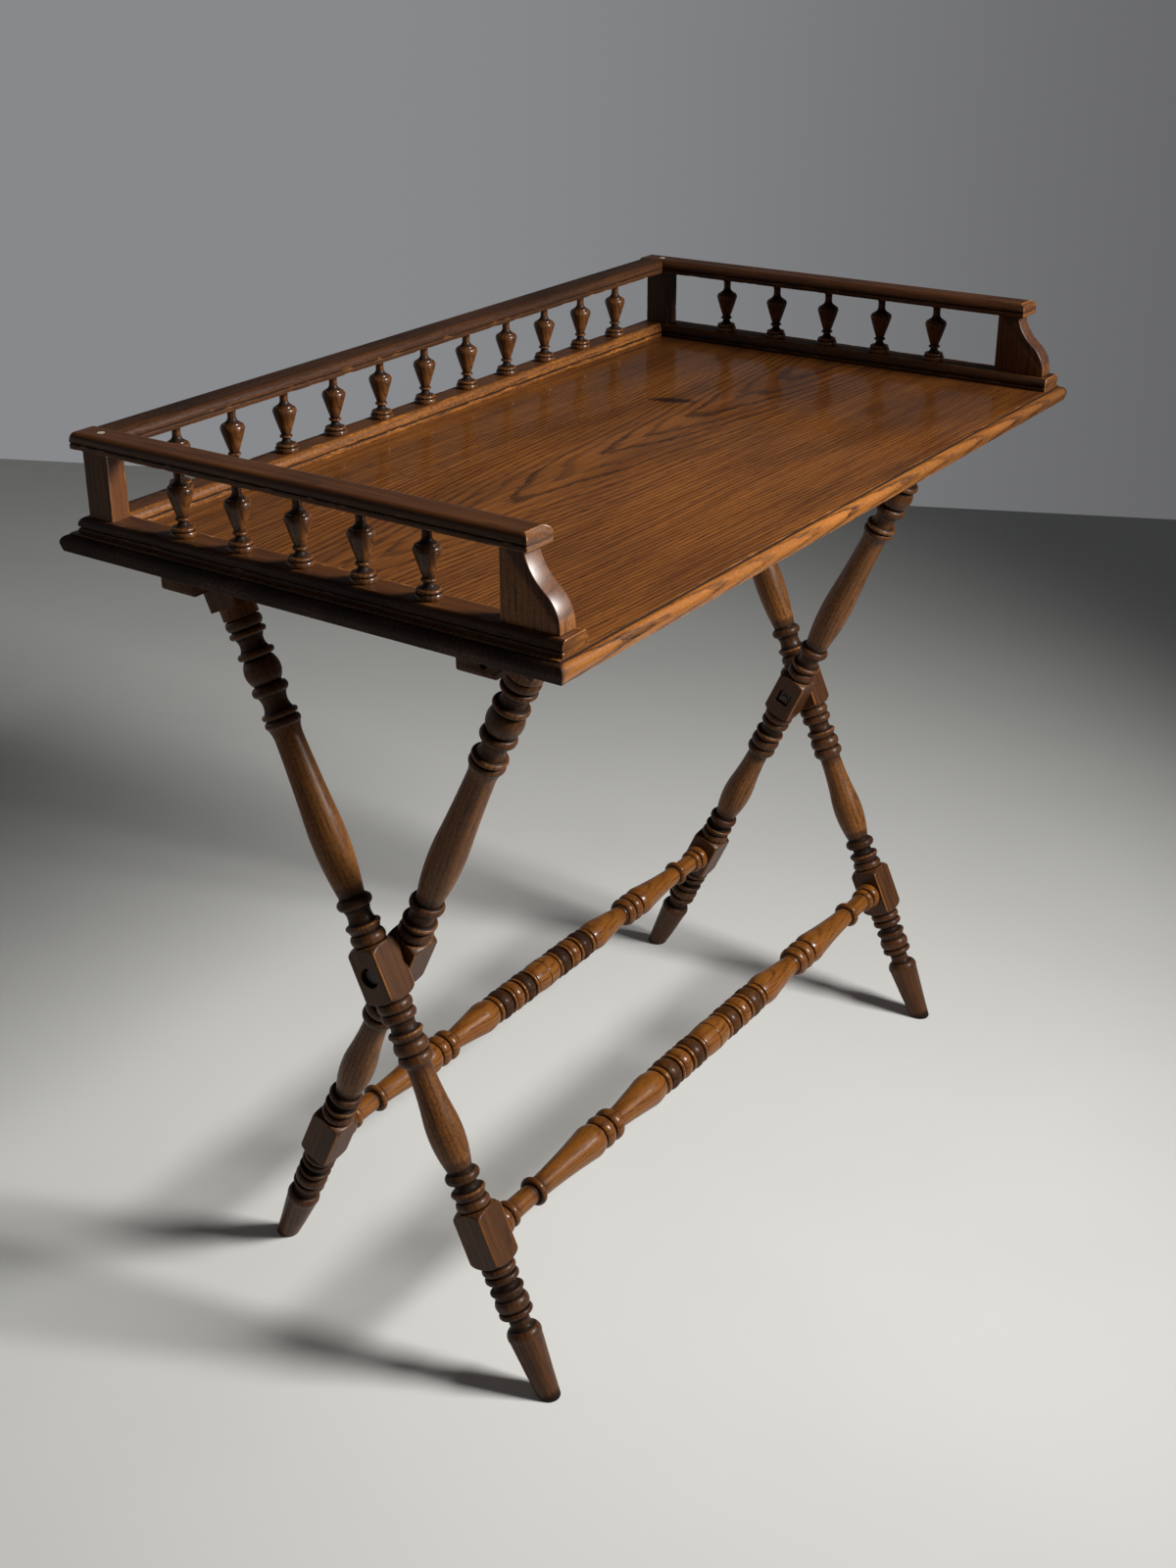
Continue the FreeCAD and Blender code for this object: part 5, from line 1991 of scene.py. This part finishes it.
@dataclass
class Underside:
    """What is fixed under the board: battens, their screws and the tilt pins."""

    row: Row
    screw_radius: float = 4.9 * MM
    slot_width: float = 1.1 * MM
    slot_depth: float = 0.9 * MM
    screw_pitch: float = 230.0 * MM
    screw_depth: float = 3.0 * MM
    screw_taper: float = 0.55
    batten_ease: float = 0.9 * MM
    sides: int = 28

    def build(self) -> None:
        """Build and dress the pieces under the board."""
        oak = BATTEN_OAK.build()
        steel = DULL_STEEL.build()
        for name, seed in (("batten_front", 41), ("batten_back", 42)):
            made = eased_copy(name, name + "_dressed", self.batten_ease)
            middle = centre_of(name)
            store_grain(made.data, Grain.X, (seed * 0.7, -middle.y, -middle.z))
            dress(made, oak, "tray", "batten_oak", name)
        places = []
        for name in ("batten_front", "batten_back"):
            low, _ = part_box(name)
            places += [(step * self.screw_pitch, centre_of(name).y, low.z) for step in (-1, 0, 1)]
        made = self.row.set_out("batten_screws_dressed", self._screw(steel), np.array(places),
                                steel, math.pi, 7)
        dress(made, steel, "tray", "dull_steel", "batten_screws")
        for side in ("left", "right"):
            bpy.data.objects[f"tilt_pin_{side}"].material_slots[0].material = steel

    def _screw(self, material: bpy.types.Material) -> bpy.types.Object:
        """One slotted screw head, flush with the batten's underside.

        Args:
            material: Its steel.

        Returns:
            The head, facing down at the origin.
        """
        shell = bmesh.new()
        bmesh.ops.create_cone(shell, cap_ends=True, segments=self.sides, radius1=self.screw_radius,
                              radius2=self.screw_radius * self.screw_taper, depth=self.screw_depth,
                              matrix=Matrix.Translation((0, 0, self.screw_depth / 2)))
        half = self.slot_width / 2
        for side in (-half, half):
            geometry = shell.verts[:] + shell.edges[:] + shell.faces[:]
            bmesh.ops.bisect_plane(shell, geom=geometry, plane_co=(0, side, 0), plane_no=(0, 1, 0))
        slot = [face for face in shell.faces
                if abs(face.calc_center_median().y) < half and face.normal.z < -0.9]
        lifted = bmesh.ops.extrude_face_region(shell, geom=slot)
        raised = [item for item in lifted["geom"] if isinstance(item, bmesh.types.BMVert)]
        bmesh.ops.translate(shell, verts=raised, vec=(0, 0, self.slot_depth))
        bmesh.ops.delete(shell, geom=slot, context="FACES")
        mesh = bpy.data.meshes.new("screw_head")
        shell.to_mesh(mesh)
        shell.free()
        mesh.materials.append(material)
        made = bpy.data.objects.new("screw_head", mesh)
        bpy.context.scene.collection.objects.link(made)
        return made


@dataclass
class Studio:
    """Floor, light and the camera at the photograph's angle."""

    camera_place: Colour = (-1.37257, -0.91019, 1.19587)
    azimuth: float = math.radians(-143.394)
    elevation: float = math.radians(24.850)
    roll: float = math.radians(-0.979)
    focal_pixels: float = 1976.10
    principal: Point = (531.64, 752.18)
    image: Point = (1200.0, 1600.0)
    sensor: float = 36.0
    wall_left: Point = (1.2216, 2.4071)
    wall_right: Point = (2.198, 0.1873)
    floor_reach: float = 7.0
    wall_grey: Colour = (0.245, 0.249, 0.260)
    wall_shade: Colour = (0.125, 0.126, 0.130)
    room_light: Colour = (0.170, 0.172, 0.178)
    room_dark: Colour = (0.036, 0.037, 0.039)
    back_light: Colour = (1.40, 1.41, 1.45)
    low_bounds: Point = (0.08, 0.32)
    ahead_way: Point = (0.7, 0.7)
    ahead_bounds: Point = (-0.5, 0.8)
    across_way: Point = (0.4025, -0.9155)
    across_bounds: Point = (-0.3, 0.2)
    back_way: Point = (-0.17, 0.98)
    back_bounds: Point = (0.6, 0.95)
    back_low_bounds: Point = (0.12, 0.34)
    lamp_place: Colour = (0.46, -1.62, 1.64)
    lamp_target: Colour = (-0.92, 1.93, 0.0)
    lamp_size: Point = (0.55, 0.65)
    lamp_power: float = 29.0
    lamp_colour: Colour = (1.0, 0.99, 0.97)
    lamp_spread: float = math.radians(100)
    clip: Point = (0.01, 100.0)

    def build(self) -> None:
        """Make the floor, the lights, the world and the camera."""
        self._floor()
        self._world()
        self._lamp()
        self._camera()

    def _floor(self) -> None:
        """A pale floor that ends where the wall starts."""
        left, right = Vector(self.wall_left), Vector(self.wall_right)
        way = (right - left).normalized()
        back = Vector((way.y, -way.x))
        if back.dot(left) > 0:
            back = -back
        corners = [left - way * self.floor_reach, right + way * self.floor_reach]
        corners += [corner + back * self.floor_reach * 2 for corner in corners[::-1]]
        vertices = np.array([(*corner, 0.0) for corner in corners])
        floor = mesh_from("studio_floor", vertices, [[0, 1, 2, 3]])
        if floor.data.polygons[0].normal.z < 0:
            floor.data.flip_normals()
        floor.data.materials.append(FLOOR_PAINT.build())

    def _world(self) -> None:
        """A grey wall to be seen, with painted shade to the right and above, and a dim room with a
        bright back to be lit by.
        """
        world = bpy.data.worlds.new("studio_grey")
        world.use_nodes = True
        world.node_tree.nodes.clear()
        graph = Graph(world.node_tree)
        camera, glossy, through = (
            graph.node("ShaderNodeLightPath", output=f"Is {kind} Ray") for kind in SIGHT_RAYS
        )
        ray = camera + glossy + through
        way = graph.node("ShaderNodeTexCoord", output="Generated")
        x, y, z = graph.parts(way)

        def facing(along: Point, bounds: Point) -> Value:
            """How far a level direction is faced, 0 at the first bound and 1 at the second."""
            return graph.fade(x * along[0] + y * along[1], *bounds)

        low = 1 - graph.fade(z, *self.low_bounds)
        ahead = facing(self.ahead_way, self.ahead_bounds) * low
        # The wall seen behind, also in reflections, is painted darker to the right and towards the
        # top: painted shade.
        across = facing(self.across_way, self.across_bounds)
        wall = graph.blend(across, self.wall_grey, self.wall_shade)
        grey = graph.blend(low, self.room_dark, wall)
        seen = graph.node("ShaderNodeBackground", None, {"Color": grey, "Strength": 1.0})
        behind = facing(self.back_way, self.back_bounds)
        behind = behind * (1 - graph.fade(z, *self.back_low_bounds))
        dim = graph.blend(ahead, self.room_dark, self.room_light)
        dim = graph.blend(behind, dim, self.back_light)
        light = graph.node("ShaderNodeBackground", None, {"Color": dim, "Strength": 1.0})
        mixed = graph.node("ShaderNodeMixShader", None, {0: ray, 1: light, 2: seen})
        graph.node("ShaderNodeOutputWorld", None, {"Surface": mixed})
        bpy.context.scene.world = world

    def _lamp(self) -> None:
        """One soft rectangular lamp, high at the front."""
        lamp = bpy.data.lights.new("window", "AREA")
        lamp.shape = "RECTANGLE"
        lamp.size, lamp.size_y = self.lamp_size
        lamp.spread = self.lamp_spread
        lamp.energy = self.lamp_power
        lamp.color = self.lamp_colour
        made = bpy.data.objects.new("window", lamp)
        made.location = self.lamp_place
        aim = Vector(self.lamp_target) - Vector(self.lamp_place)
        made.rotation_euler = aim.to_track_quat("-Z", "Y").to_euler()
        bpy.context.scene.collection.objects.link(made)

    def _camera(self) -> None:
        """Camera solved from the photograph."""
        level = math.cos(self.elevation)
        towards = Vector((level * math.cos(self.azimuth), level * math.sin(self.azimuth),
                          math.sin(self.elevation)))
        right = (-towards).cross(Vector((0, 0, 1))).normalized()
        up = right.cross(-towards)
        cos, sin = math.cos(self.roll), math.sin(self.roll)
        axes = (right * cos + up * sin, up * cos - right * sin, towards)
        data = bpy.data.cameras.new("photo_camera")
        data.sensor_width = self.sensor
        data.lens = self.focal_pixels / self.image[1] * self.sensor
        data.shift_x = (self.image[0] / 2 - self.principal[0]) / self.image[1]
        data.shift_y = (self.principal[1] - self.image[1] / 2) / self.image[1]
        data.clip_start, data.clip_end = self.clip
        camera = bpy.data.objects.new("photo_camera", data)
        turn = Matrix(axes).transposed().to_4x4()
        camera.matrix_world = Matrix.Translation(self.camera_place) @ turn
        bpy.context.scene.collection.objects.link(camera)
        bpy.context.scene.camera = camera


def main() -> None:
    """Build the dressed table round its solids."""
    logging.basicConfig(level=logging.INFO, format="%(message)s")
    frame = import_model()
    bpy.context.scene.view_settings.view_transform = "Standard"
    joints = {joint["name"]: Vector(joint["pos_m"]) for joint in frame["joints"]}
    Studio().build()
    lathe, row = Lathe(), Row()
    dress(Board().build(), TRAY_OAK.build(), "tray", "tray_oak", "tray_board")
    plinth = Moulding(waist=27.5 * MM, top=22.0 * MM, band=3.6 * MM, quirk=1.3 * MM)
    rail = Moulding(waist=28.0 * MM, top=20.0 * MM, band=4.0 * MM, quirk=1.2 * MM)
    Gallery(lathe, row, plinth, rail).build()
    Stand(lathe, joints["fold"], joints["tray_tilt"]).build()
    Underside(row).build()


if __name__ == "__main__":
    main()
